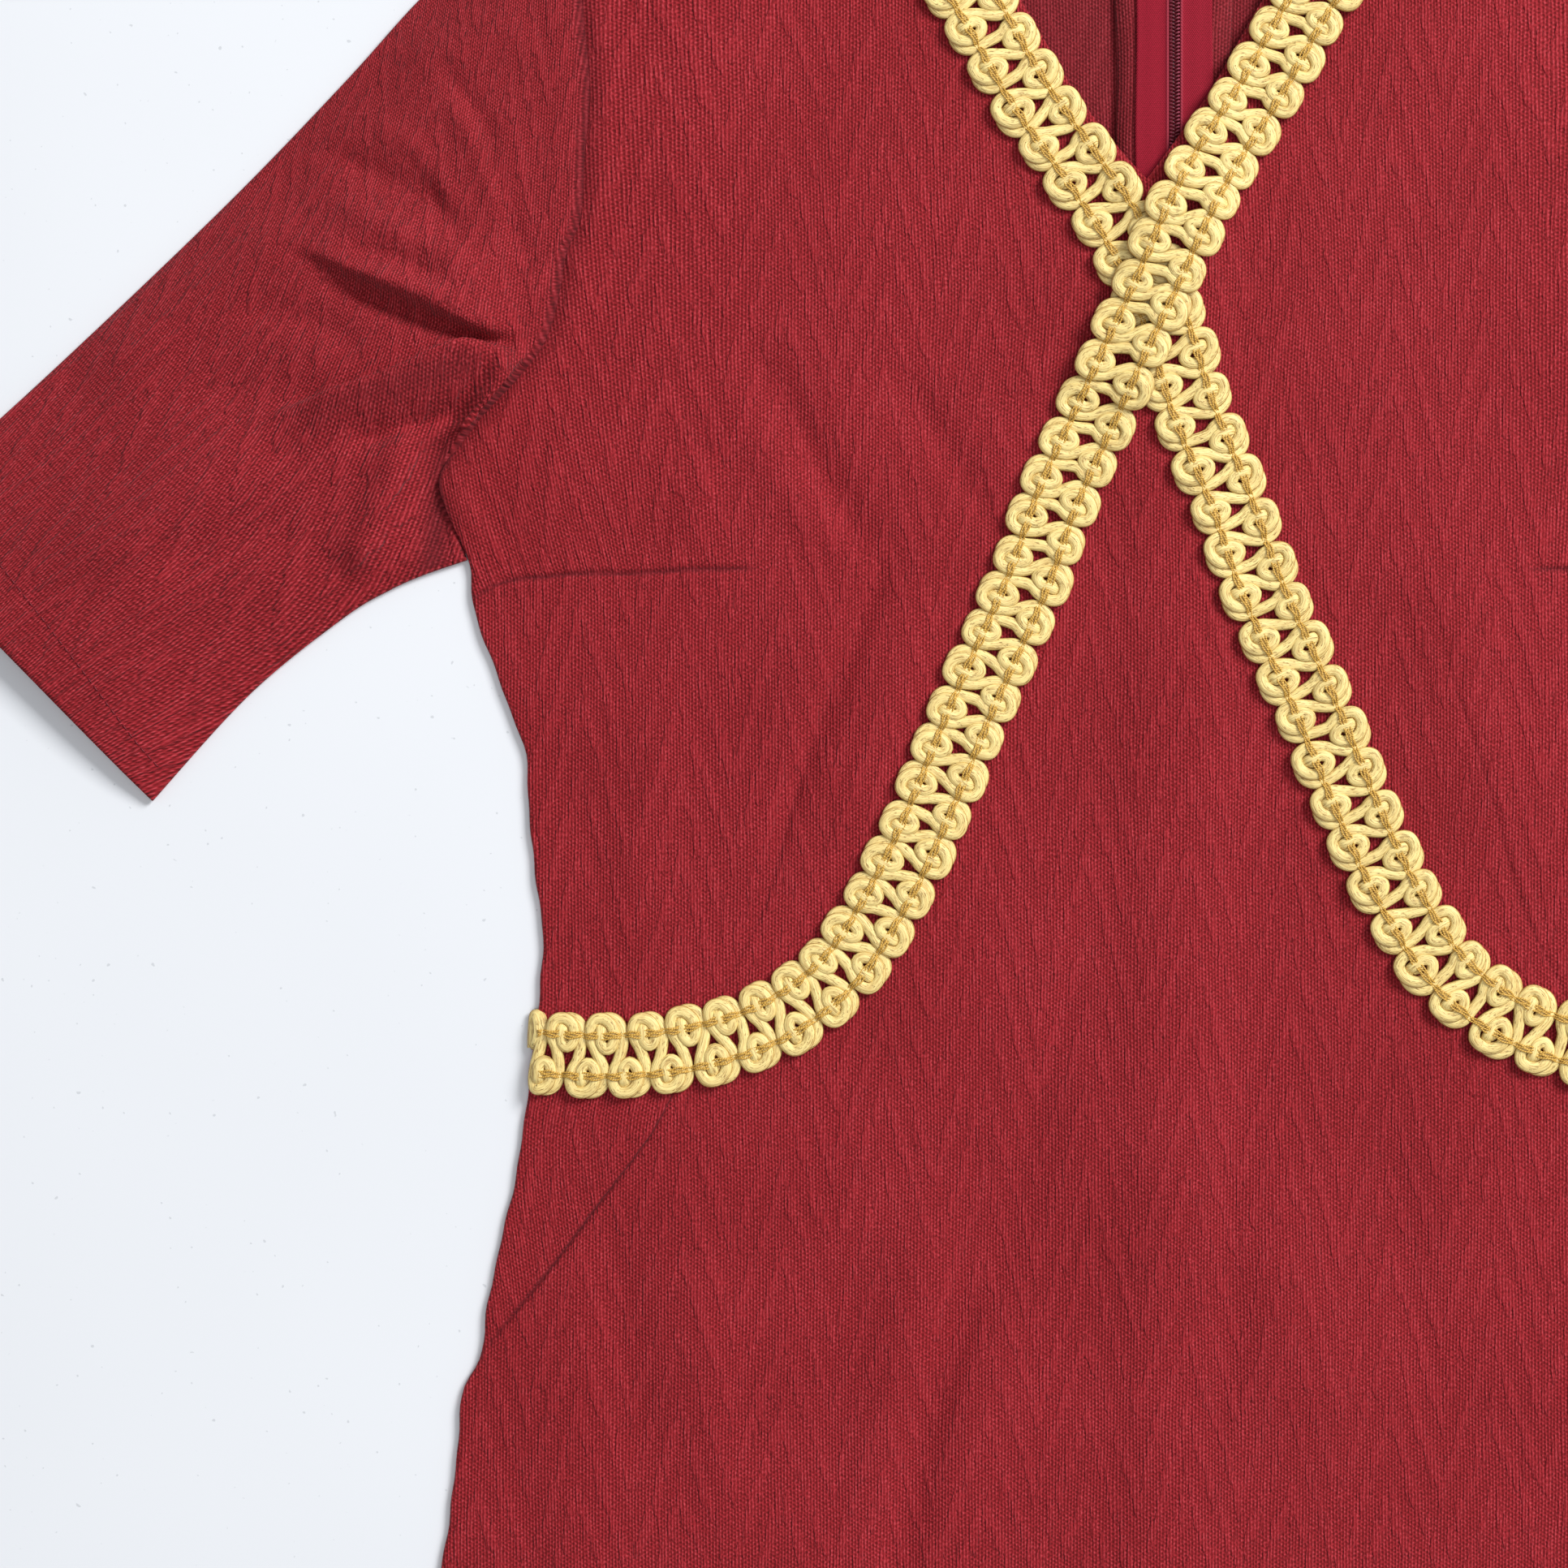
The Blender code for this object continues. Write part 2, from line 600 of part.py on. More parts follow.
# Braid, one scalloped strip with the open triangles of its scrolls cut through
def build_braid(name, side, ground, rise):
    """side is 1 for the braid that starts at +X; ground is the search tree of the front."""
    _, length = smooth_line(BRAID_LINE, 10)
    units = round(length / BRAID_PITCH)
    steps = units * UNIT_STEPS
    line, _ = smooth_line(BRAID_LINE, steps)
    crossing = min(range(steps + 1), key=lambda step: abs(line[step].x))

    def ground_height(spot):
        """Highest cloth near a place."""
        highest = PILE_TOP
        for shift_x, shift_y in ((0, 0), (1, 0), (-1, 0), (0, 1), (0, -1)):
            start = spot + Vector((shift_x * SAMPLE_REACH, shift_y * SAMPLE_REACH, 100.0)) * MM
            hit = ground.ray_cast(start, Vector((0, 0, -1)))
            if hit[0] is not None:
                highest = max(highest, hit[0].z / MM)
        return highest

    def point(steps_along, across):
        at = min(max(steps_along, 0.0), float(steps))
        low = min(int(at), steps - 1)
        middle = line[low].lerp(line[low + 1], at - low)
        ahead = (line[min(low + 2, steps)] - line[max(low - 1, 0)]).normalized()
        from_crossing = abs(at - crossing) * length / steps
        hump = rise * (1.0 - ease(CROSSING_FULL, CROSSING_END, from_crossing))
        spots = []
        for pull in (1.0, 0.9, 0.75):
            spot = middle + Vector((-ahead.y, ahead.x)) * across * pull
            spots.append(place(side * spot.x, spot.y, 0.0))
        flat = max(ground_height(spot) for spot in spots)
        return Vector((spots[0].x, spots[0].y, (flat + BRAID_LIFT + hump) * MM))

    bm = bmesh.new()
    gap = GAP_HALF_BASE * UNIT_STEPS / BRAID_PITCH

    def add(steps_along, across):
        return bm.verts.new(point(steps_along, across))

    def shift(fraction, unit):
        return (unit + fraction) * UNIT_STEPS

    near = []
    far = []
    near_apex = []
    far_apex = []
    near_rim = []
    far_rim = []
    for unit in range(units + 1):
        near.append((add(shift(0.0, unit) - gap, -STITCH_ROW), add(shift(0.0, unit) + gap, -STITCH_ROW)))
        near_apex.append(add(shift(0.0, unit), GAP_APEX))
        near_rim.append(
            (add(shift(0.0, unit), -SCALLOP_VALLEY), add(shift(0.28, unit), -BRAID_HALF),
             add(shift(0.72, unit), -BRAID_HALF))
        )
        if unit == units:
            break
        far.append((add(shift(0.5, unit) - gap, STITCH_ROW), add(shift(0.5, unit) + gap, STITCH_ROW)))
        far_apex.append(add(shift(0.5, unit), -GAP_APEX))
        far_rim.append(
            (add(shift(0.5, unit), SCALLOP_VALLEY), add(shift(0.78, unit), BRAID_HALF),
             add(shift(1.22, unit), BRAID_HALF))
        )
    for unit in range(units):
        left, right = near[unit][1], near[unit + 1][0]
        valley, rim_a, rim_b = near_rim[unit]
        bm.faces.new((valley, rim_a, left))
        bm.faces.new((left, rim_a, rim_b, right))
        bm.faces.new((right, rim_b, near_rim[unit + 1][0]))
        bm.faces.new((left, right, far_apex[unit]))
        bm.faces.new((near[unit][1], far_apex[unit], far[unit][0], near_apex[unit]))
        bm.faces.new((far_apex[unit], near[unit + 1][0], near_apex[unit + 1], far[unit][1]))
        if unit < units - 1:
            valley, rim_a, rim_b = far_rim[unit]
            left, right = far[unit][1], far[unit + 1][0]
            bm.faces.new((valley, left, rim_a))
            bm.faces.new((left, right, rim_b, rim_a))
            bm.faces.new((right, far_rim[unit + 1][0], rim_b))
            bm.faces.new((left, near_apex[unit + 1], right))
    start_corner = add(shift(0.0, 0), SCALLOP_VALLEY)
    end_corner = add(shift(0.0, units), SCALLOP_VALLEY)
    valley, rim_a, _ = far_rim[-1]
    bm.faces.new((near_apex[0], far[0][0], far_rim[0][0], start_corner))
    bm.faces.new((valley, far[-1][1], rim_a))
    bm.faces.new((far[-1][1], near_apex[units], end_corner, rim_a))
    for unit in range(1, units):
        bm.faces.new((near[unit][0], near_rim[unit][0], near[unit][1]))
    for unit in range(units):
        bm.faces.new((far[unit][0], far[unit][1], far_rim[unit][0]))
    loose = [vert for vert in bm.verts if not vert.link_faces]
    bmesh.ops.delete(bm, geom=loose, context="VERTS")
    bmesh.ops.recalc_face_normals(bm, faces=bm.faces)
    if sum(face.normal.z for face in bm.faces) < 0.0:
        bmesh.ops.reverse_faces(bm, faces=bm.faces)
    piece = new_piece(name, bm, ((0.80, 0.50, 0.13), 0.38, 0.0))
    thicken(piece, BRAID_THICK, 1.0)
    return piece


def surface_tree(piece):
    """Search tree of a piece as it is evaluated."""
    bpy.context.view_layer.update()
    graph = bpy.context.evaluated_depsgraph_get()
    bm = bmesh.new()
    bm.from_object(piece, graph)
    bmesh.ops.triangulate(bm, faces=bm.faces)
    tree = BVHTree.FromBMesh(bm)
    bm.free()
    return tree


# Zip: tapes, closed coil, slider and pull tab
def add_box(bm, low, high):
    """A box between two corners in millimetres."""
    centre = (Vector(low) + Vector(high)) / 2.0 * MM
    size = (Vector(high) - Vector(low)) * MM
    turn = Matrix.Translation(centre) @ Matrix.Diagonal((*size, 1.0))
    return bmesh.ops.create_cube(bm, size=1.0, matrix=turn)["verts"]


def add_pin(bm, centre, radius, length, segments):
    """A round bar along X."""
    turn = Matrix.Translation(Vector(centre) * MM) @ Matrix.Rotation(math.radians(90.0), 4, "Y")
    bmesh.ops.create_cone(
        bm, cap_ends=True, segments=segments, radius1=radius * MM, radius2=radius * MM,
        depth=length * MM, matrix=turn,
    )


def cutter(name, fill):
    """A hidden shape for a Boolean."""
    bm = bmesh.new()
    fill(bm)
    mesh = bpy.data.meshes.new(name)
    bm.to_mesh(mesh)
    bm.free()
    tool = bpy.data.objects.new(name, mesh)
    tool.hide_render = True
    tool.display_type = "WIRE"
    cutters.objects.link(tool)
    return tool


def combine(piece, tool, operation):
    step = piece.modifiers.new(operation.lower(), "BOOLEAN")
    step.object = tool
    step.operation = operation
    step.solver = "EXACT"


def build_zip():
    neck_edge = LENGTH / 2.0 - back_top_down(ZIP_OUT) - NECK_CLEAR
    zip_foot = LENGTH / 2.0 - ZIP_END
    tape_look = ((0.38, 0.012, 0.045), 0.6, 0.0)
    for name, side in (("zip_tape_left", -1.0), ("zip_tape_right", 1.0)):
        bm = bmesh.new()
        near, far = sorted((ZIP_OUT + side * (COIL_HALF + SEAM_GAP), ZIP_OUT + side * TAPE_HALF))
        add_box(bm, (near, zip_foot, TAPE_LIFT), (far, neck_edge, TAPE_LIFT + TAPE_THICK))
        new_piece(name, bm, tape_look)
    bm = bmesh.new()
    coil_top = neck_edge - SLIDER_LENGTH - SEAM_GAP
    add_box(
        bm, (ZIP_OUT - COIL_HALF, zip_foot, TAPE_LIFT),
        (ZIP_OUT + COIL_HALF, coil_top, TAPE_LIFT + COIL_THICK),
    )
    coil = new_piece("zip_coil", bm, ((0.25, 0.01, 0.02), 0.4, 0.0))
    rounded = coil.modifiers.new("rounded", "BEVEL")
    rounded.width = 0.4 * MM
    rounded.segments = 2

    pivot_y = neck_edge + PIVOT_AHEAD
    plate_low = TAPE_LIFT + TAPE_THICK + SEAM_GAP
    slider_back = neck_edge - SLIDER_LENGTH
    slider_front = neck_edge + PLATE_OVERHANG
    ear_back = slider_front - 0.6
    ear_front = pivot_y + 1.0
    bm = bmesh.new()
    add_box(
        bm, (ZIP_OUT - PLATE_HALF, slider_back, plate_low),
        (ZIP_OUT + PLATE_HALF, slider_front, plate_low + PLATE_THICK),
    )
    slider = new_piece("zip_slider", bm, ((0.42, 0.02, 0.04), 0.35, 0.0))
    boxes = (
        ("post", (ZIP_OUT - POST_HALF, slider_back + 0.5, TAPE_LIFT),
         (ZIP_OUT + POST_HALF, neck_edge - 1.0, plate_low + 0.5)),
        ("nose", (ZIP_OUT - EAR_OUTER, neck_edge + 0.5, EAR_LOW),
         (ZIP_OUT + EAR_OUTER, slider_front - 0.1, plate_low + 0.6)),
        ("ear_left", (ZIP_OUT - EAR_OUTER, ear_back, EAR_LOW), (ZIP_OUT - EAR_INNER, ear_front, EAR_TOP)),
        ("ear_right", (ZIP_OUT + EAR_INNER, ear_back, EAR_LOW), (ZIP_OUT + EAR_OUTER, ear_front, EAR_TOP)),
    )
    for name, low, high in boxes:
        combine(slider, cutter(name, lambda tool, low=low, high=high: add_box(tool, low, high)), "UNION")
    centre = (ZIP_OUT, pivot_y, PIVOT_HEIGHT)
    pin = cutter("pin", lambda tool: add_pin(tool, centre, PIN_RADIUS, PIN_LENGTH, 12))
    combine(slider, pin, "UNION")

    bm = bmesh.new()
    add_pin(bm, centre, EYE_RADIUS, EYE_WIDTH, 20)
    tab = new_piece("zip_pull", bm, ((0.42, 0.02, 0.04), 0.35, 0.0))
    pivot = Vector(centre) * MM
    tab.data.transform(Matrix.Translation(-pivot))
    tab.location = pivot
    droop = Matrix.Translation(pivot) @ Matrix.Rotation(math.radians(-TAB_DROOP), 4, "X")

    def blade(tool):
        verts = add_box(
            tool, (-TAB_NECK_HALF, 1.2, -TAB_HALF_THICK), (TAB_NECK_HALF, 3.0, TAB_HALF_THICK))
        bmesh.ops.transform(tool, matrix=droop, verts=verts)

    def paddle(tool):
        verts = add_box(
            tool, (-TAB_HALF, 2.6, -TAB_HALF_THICK), (TAB_HALF, TAB_LENGTH, TAB_HALF_THICK))
        corners = [edge for edge in tool.edges
                   if abs(edge.verts[0].co.z - edge.verts[1].co.z) > TAB_HALF_THICK * MM]
        bmesh.ops.transform(tool, matrix=droop, verts=verts)
        bmesh.ops.bevel(
            tool, geom=corners, offset=TAB_CORNER * MM, segments=3, affect="EDGES", profile=0.5)

    combine(tab, cutter("pull_neck", blade), "UNION")
    combine(tab, cutter("pull_paddle", paddle), "UNION")
    bore = cutter("pull_bore", lambda tool: add_pin(tool, centre, EYE_BORE, 4.0, 20))
    combine(tab, bore, "DIFFERENCE")


for old in list(bpy.data.objects):
    bpy.data.objects.remove(old, do_unlink=True)
collection = bpy.data.collections.new("laid_flat_dress")
bpy.context.scene.collection.children.link(collection)
cutters = bpy.data.collections.new("cutters")
bpy.context.scene.collection.children.link(cutters)

front = build_front()
build_back("back_left", -1)
build_back("back_right", 1)
build_sleeve("sleeve_left", -1, SLEEVE_FOLDS["left"])
build_sleeve("sleeve_right", 1, SLEEVE_FOLDS["right"])
build_zip()
front_tree = surface_tree(front)
build_braid("braid_under", -1, front_tree, 0.0)
build_braid("braid_over", 1, front_tree, CROSSING_RISE)
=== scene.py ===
"""Long crinkle-knit dress with scroll braids, laid flat on a white table and seen from above."""
import math
import bpy
import numpy as np
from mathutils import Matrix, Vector


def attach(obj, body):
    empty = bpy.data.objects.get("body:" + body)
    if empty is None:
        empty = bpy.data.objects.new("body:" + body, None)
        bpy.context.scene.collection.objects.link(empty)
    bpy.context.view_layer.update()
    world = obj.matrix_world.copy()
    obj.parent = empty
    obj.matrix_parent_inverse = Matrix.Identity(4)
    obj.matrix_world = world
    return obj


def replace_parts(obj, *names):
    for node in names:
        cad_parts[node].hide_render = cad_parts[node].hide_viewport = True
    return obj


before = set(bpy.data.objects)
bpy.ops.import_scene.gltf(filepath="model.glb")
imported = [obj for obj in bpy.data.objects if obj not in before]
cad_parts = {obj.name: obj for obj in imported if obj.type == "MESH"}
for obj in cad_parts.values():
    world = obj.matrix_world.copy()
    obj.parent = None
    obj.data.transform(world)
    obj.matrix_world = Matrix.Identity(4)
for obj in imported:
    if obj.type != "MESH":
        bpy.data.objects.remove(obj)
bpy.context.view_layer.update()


# The front is one panel of crinkle crepe knit from shoulder to hem, with a V neck, a bust dart from
# each side seam and a long curved dart up from each hip. It is sewn to the back at the shoulders and
# side seams, which roll to the table as it lies.
MM = 0.001
LENGTH = 1380.0
HALF_HEM = 364.0
HEM_SIDE_DOWN = 1356.0
NECK_OUT = 86.5
V_DEPTH = 134.0
SHOULDER_OUT = 180.0
SHOULDER_DROP = 34.6
UNDERARM_DOWN = 253.8
PILE_TOP = 2.7
ROLL = 1.35
ZIP_OUT = 10.3
ZIP_END = 520.0
OVER_COIL = 4.4
OVER_TAPE = 2.2
BODY_LIFT = 2.2
BUST_RISE = 2.6
SKIRT_RISE = 1.6
RIPPLE_RISE = 0.32
UNDERARM_RISE = 2.6
FRONT_WALL = 0.9
FRONT_COLUMNS = 79
FRONT_ROLL = 6
OUTLINE = np.array((
    (34.6, 180.0), (76.9, 177.9), (103.6, 175.6), (125.6, 177.2), (146.2, 178.7), (156.9, 183.1),
    (170.3, 185.4), (185.4, 190.3), (196.9, 199.2), (207.7, 209.5), (221.5, 219.2), (228.7, 222.3),
    (239.5, 219.2), (253.8, 213.1), (268.0, 211.5), (284.9, 205.9), (302.8, 199.2), (314.4, 195.1),
    (341.0, 193.3), (370.0, 189.7), (382.6, 189.7), (418.2, 193.8), (445.4, 197.4), (486.2, 206.4),
    (506.7, 209.5), (515.6, 214.4), (544.1, 217.4), (572.3, 221.5), (900.0, 279.5),
    (HEM_SIDE_DOWN, HALF_HEM),
))
NECK_EDGE = np.array((
    (0.0, NECK_OUT), (40.0, 61.5), (79.5, 36.5), (106.4, 21.0), (126.0, 6.5), (V_DEPTH, 0.0),
))
BUST_DART = np.array((
    (118.0, 256.8), (123.3, 256.9), (143.3, 257.2), (160.5, 258.2), (178.5, 258.2), (187.9, 259.2),
    (198.2, 260.0), (204.4, 261.8), (210.3, 265.4),
))
WAIST_DART = np.array((
    (264.0, 91.5), (282.1, 94.1), (312.8, 104.4), (333.3, 110.8), (364.1, 119.7), (382.0, 128.7),
    (421.8, 147.9), (435.9, 155.6), (456.4, 171.0), (476.9, 186.4), (504.6, 208.7),
))
# Broad folds: from across, from down, to across, to down, half width, height
FRONT_FOLDS = (
    (-9.5, 372, -43, 497, 11, -1.2),
    (24, 490, -46, 700, 13, -1.4),
    (-54, 470, -64, 640, 15, 1.3),
    (-91, 250, -122, 372, 16, 1.2),
    (-142, 215, -141, 262, 12, 0.8),
    (86, 240, 118, 360, 17, 1.3),
    (150, 225, 158, 300, 12, 1),
    (34, 420, 62, 560, 14, 1.2),
    (-62, 620, -116, LENGTH, 26, 4.6),
    (-140, 700, -232, LENGTH, 24, 4),
    (-215, 860, -318, LENGTH, 22, 3.2),
    (26, 600, 30, LENGTH, 24, 3.6),
    (96, 560, 138, LENGTH, 26, 4.4),
    (158, 720, 236, LENGTH, 24, 4.2),
    (232, 900, 322, LENGTH, 20, 3),
)
# Narrow creases, in the same columns; every height is taken this many times
CREASE_DEPTH = 1.4
FRONT_CREASES = (
    (6, 326, -56, 506, 5.5, -3),
    (-42, 430, -88, 610, 6, -2.6),
    (-62, 440, -94, 570, 8, 1.3),
    (32, 476, -38, 606, 6, -3.8),
    (52, 470, 4, 590, 10, 1.5),
    (-128, 178, -80, 262, 5, -2),
    (-136, 196, -96, 256, 7, 1),
    (-82, 190, -44, 246, 4.5, -1.6),
    (-76, 240, -122, 360, 4.5, -2.2),
    (-66, 262, -98, 350, 7, 1.1),
    (-186, 308, -168, 368, 5, -1.3),
    (-170.5, 452, -158, 545, 7, -1.8),
    (-200, 530, -188, 600, 6, -1.2),
    (-146, 430, -128, 590, 9, 1),
    (-200, 232, -205, 250, 2.2, -0.9),
    (-140, 220, -143, 252, 6, 0.7),
    (-150, 300, -164, 372, 7, 0.7),
    (46, 300, 38, 380, 8, -0.6),
    (110, 236, 120, 330, 7, -0.6),
    (74, 420, 96, 540, 9, -0.8),
    (152, 300, 166, 372, 8, 0.5),
    (202, 236, 206, 254, 2.4, -0.8),
    (128, 470, 150, 640, 11, 0.7),
    (-30, 760, -54, 1330, 17, -1.6),
    (-176, 900, -214, 1340, 15, -1.4),
    (64, 780, 84, 1340, 16, -1.5),
    (190, 880, 250, 1345, 15, -1.5),
)


def ease(start, end, value):
    """Smooth step from 0 at start to 1 at end."""
    share = np.clip((value - start) / (end - start), 0.0, 1.0)
    return share * share * (3.0 - 2.0 * share)


def mix(first, second, share):
    return first + (second - first) * share


def read_table(table, value):
    """Second column of a table at values of its first, on a smooth curve through its rows."""
    keys, values = table[:, 0], table[:, 1]
    slopes = np.empty(len(keys))
    slopes[1:-1] = (values[2:] - values[:-2]) / (keys[2:] - keys[:-2])
    slopes[0] = (values[1] - values[0]) / (keys[1] - keys[0])
    slopes[-1] = (values[-1] - values[-2]) / (keys[-1] - keys[-2])
    at = np.clip(np.searchsorted(keys, value, side="right") - 1, 0, len(keys) - 2)
    span = keys[at + 1] - keys[at]
    t = np.clip((value - keys[at]) / span, 0.0, 1.0)
    curve = (2 * t**3 - 3 * t**2 + 1) * values[at] + (3 * t**2 - 2 * t**3) * values[at + 1]
    bend = (t**3 - 2 * t**2 + t) * slopes[at] + (t**3 - t**2) * slopes[at + 1]
    return curve + bend * span


def fold_height(folds, across, down):
    """Sum of the soft ridges and troughs; each fades towards its ends."""
    height = np.zeros(np.broadcast(across, down).shape)
    for from_x, from_down, to_x, to_down, half_width, rise in folds:
        run = np.array((to_x - from_x, to_down - from_down))
        reach = (across - from_x) * run[0] + (down - from_down) * run[1]
        share = np.clip(reach / run.dot(run), 0.0, 1.0)
        gap = np.hypot(across - from_x - share * run[0], down - from_down - share * run[1])
        tail = ease(0.0, 0.3, share)
        if to_down < LENGTH:
            tail = tail * ease(0.0, 0.3, 1.0 - share)
        height += rise * tail * np.exp(-((gap / half_width) ** 2))
    return height


def place(across, down, height):
    """Points in metres from places on the cloth and heights, in millimetres."""
    nudge = 3.0 * np.exp(-(((down - 165.0) / 32.0) ** 2)) * np.exp(-((across / 70.0) ** 2))
    return np.stack(np.broadcast_arrays(across + nudge, LENGTH / 2.0 - down, height), -1) * MM


def zip_across(down):
    """Where the centre back lies under the front."""
    return ZIP_OUT * (1.0 - ease(ZIP_END, LENGTH, down))


def hem_sag(across, outer_down):
    """How much lower a row hangs at one place than at its side seam, for an even hem when worn."""
    deepest = (LENGTH - HEM_SIDE_DOWN) * ease(UNDERARM_DOWN, HEM_SIDE_DOWN, outer_down)
    return deepest * (1.0 - (across / read_table(OUTLINE, outer_down)) ** 2)


def ripple(across, down, size):
    """Slow irregular waves of a cloth that was smoothed by hand, about -1 to 1."""
    first = np.sin(across / size + 1.3 * np.sin(down / (2.3 * size) + 0.7))
    second = np.sin(down / (1.7 * size) + 1.1 * np.sin(across / (1.4 * size) + 2.1))
    third = np.sin((across * 0.8 + down * 0.55) / (0.62 * size) + 4.0)
    return (first + second + 0.6 * third) / 2.6


def dart_height(across, down):
    """Seam groove of each dart, puckered along its length, between two softly raised lips."""
    out = np.abs(across)
    along_bust = ease(119.0, 132.0, out)
    off_bust = down - read_table(BUST_DART, out) - 0.25 * np.sin(out / 2.3) * along_bust
    pucker = 1.0 + 0.35 * np.sin(out / 1.9)
    bust = along_bust * (0.2 * np.exp(-((np.abs(off_bust) - 2.6) / 1.8) ** 2) * pucker
                         - 0.8 * np.exp(-((off_bust / 0.7) ** 2)))
    along_waist = ease(262.0, 300.0, down) * (1.0 - ease(501.0, 507.0, down))
    along_waist = along_waist * mix(0.3, 1.0, ease(415.0, 470.0, down))
    off_waist = out - read_table(WAIST_DART, down)
    waist = along_waist * (0.28 * np.exp(-((np.abs(off_waist) - 2.8) / 2.0) ** 2)
                           - 0.9 * np.exp(-((off_waist / 0.8) ** 2)))
    return bust + waist


def front_height(across, down):
    """Top of the front above the table."""
    out = np.abs(across)
    from_edge = read_table(OUTLINE, down) - out
    inside = ease(0.0, 40.0, from_edge)
    neck = np.where(down < V_DEPTH, ease(0.0, 26.0, out - read_table(NECK_EDGE, down)), 1.0)
    bust = BUST_RISE * np.exp(-(((out - 108.0) / 46.0) ** 2) - ((down - 285.0) / 70.0) ** 2)
    skirt = SKIRT_RISE * ease(560.0, 900.0, down) * inside
    folds = fold_height(FRONT_FOLDS, across, down) + CREASE_DEPTH * fold_height(FRONT_CREASES, across, down)
    folds += RIPPLE_RISE * ripple(across, down, 13.0) * ease(0.0, 30.0, from_edge)
    lifted = BODY_LIFT * inside * neck + bust + skirt + folds * inside
    top = PILE_TOP + 0.5 * (lifted + np.sqrt(lifted**2 + 1.2 * inside))
    from_zip = np.abs(across - zip_across(down))
    over_zip = mix(OVER_COIL, OVER_TAPE, ease(6.0, 24.0, from_zip)) * (1.0 - ease(22.0, 52.0, from_zip))
    top = np.maximum(np.maximum(top, PILE_TOP + over_zip), PILE_TOP)
    at_armhole = 1.0 - ease(UNDERARM_DOWN - 10.0, UNDERARM_DOWN, down)
    seam_dip = 1.0 * np.exp(-((from_edge / 2.4) ** 2)) - 0.5 * np.exp(-(((from_edge - 6.5) / 3.0) ** 2))
    corner = UNDERARM_RISE * np.exp(-(((down - 236.0) / 11.0) ** 2)) * (1.0 - ease(0.0, 14.0, from_edge))
    return top + dart_height(across, down) * ease(0.0, 3.0, from_edge) - at_armhole * seam_dip + corner


def front_rows():
    """Downs of the rows at the outer edge: close along the bust dart, wide in the lower skirt."""
    downs = [SHOULDER_DROP]
    while downs[-1] < HEM_SIDE_DOWN:
        at = downs[-1]
        fine = float(ease(248.0, 254.0, at) * (1.0 - ease(267.0, 273.0, at)))
        step = mix(2.9, 0.85, fine)
        downs.append(at + step + 9.0 * float(ease(574.0, 640.0, at)))
    downs[-1] = HEM_SIDE_DOWN
    nearest = min(range(len(downs)), key=lambda row: abs(downs[row] - V_DEPTH))
    downs[nearest] = V_DEPTH
    return np.array(downs)


def front_half(side, downs):
    """Places and heights of one half's points, row by row from its outer edge in."""
    inner_down = np.where(
        downs < V_DEPTH, V_DEPTH * (downs - SHOULDER_DROP) / (V_DEPTH - SHOULDER_DROP), downs)
    inner = np.where(downs < V_DEPTH, np.maximum(read_table(NECK_EDGE, inner_down), 0.0), 0.0)
    edge = read_table(OUTLINE, downs)
    seam = ease(UNDERARM_DOWN - 8.0, UNDERARM_DOWN + 8.0, downs)
    turn = np.array((0.0, 0.0, 30.0, 52.0, 72.0, 90.0)) * math.pi / 180.0
    rolled_in = ROLL * (1.0 - np.cos(turn))
    rolled_height = ROLL * (1.0 + np.sin(turn))
    rolled_height[0] = 0.2
    flat_in = np.linspace(0.0, 1.8, FRONT_ROLL)
    waver = 0.35 * np.sin(downs / 3.1) * np.sin(downs / 11.0 + 1.0) * seam
    out = np.empty((len(downs), FRONT_ROLL + FRONT_COLUMNS))
    down = np.empty_like(out)
    height = np.empty_like(out)
    for column in range(FRONT_ROLL):
        out[:, column] = edge + waver - mix(flat_in[column], rolled_in[column], seam)
        down[:, column] = downs + hem_sag(out[:, column], downs)
        flat = front_height(side * out[:, column], down[:, column])
        height[:, column] = mix(flat, rolled_height[column], seam)
    for row in range(len(downs)):
        start = edge[row] + waver[row] - mix(1.8, ROLL, seam[row])
        places = np.linspace(start, inner[row], 500)
        dart = read_table(WAIST_DART, np.array(downs[row]))
        strength = 5.0 * ease(236.0, 270.0, downs[row]) * (1.0 - ease(505.0, 560.0, downs[row]))
        density = 1.0 + strength * np.exp(-(((places - dart) / 3.0) ** 2))
        total = np.concatenate(((0.0,), np.cumsum((density[1:] + density[:-1]) / 2.0)))
        spaced = np.linspace(0.0, total[-1], FRONT_COLUMNS + 1)[1:]
        chosen = np.interp(spaced, total, places)
        share = (start - chosen) / (start - inner[row])
        out[row, FRONT_ROLL:] = chosen
        down[row, FRONT_ROLL:] = mix(downs[row], inner_down[row], share) + hem_sag(chosen, downs[row])
    inner_part = slice(FRONT_ROLL, None)
    height[:, inner_part] = front_height(side * out[:, inner_part], down[:, inner_part])
    return side * out, down, height


def grain_of_front(across, down):
    """Ribs' coordinate across and along, in millimetres: ribs lean beside the darts, as cut."""
    out = np.abs(across)
    lean = 0.32 * ease(108.0, 205.0, out)
    above = np.minimum(down - read_table(BUST_DART, np.clip(out, 118.0, 210.3)), 0.0)
    slid = -62.0 * (1.0 - np.exp(above / 62.0))
    beyond = out > read_table(WAIST_DART, down)
    wedge = np.where(beyond, -7.0 * ease(392.0, 440.0, down) * (1.0 - ease(440.0, 507.0, down)), 0.0)
    return out + lean * slid + wedge, down


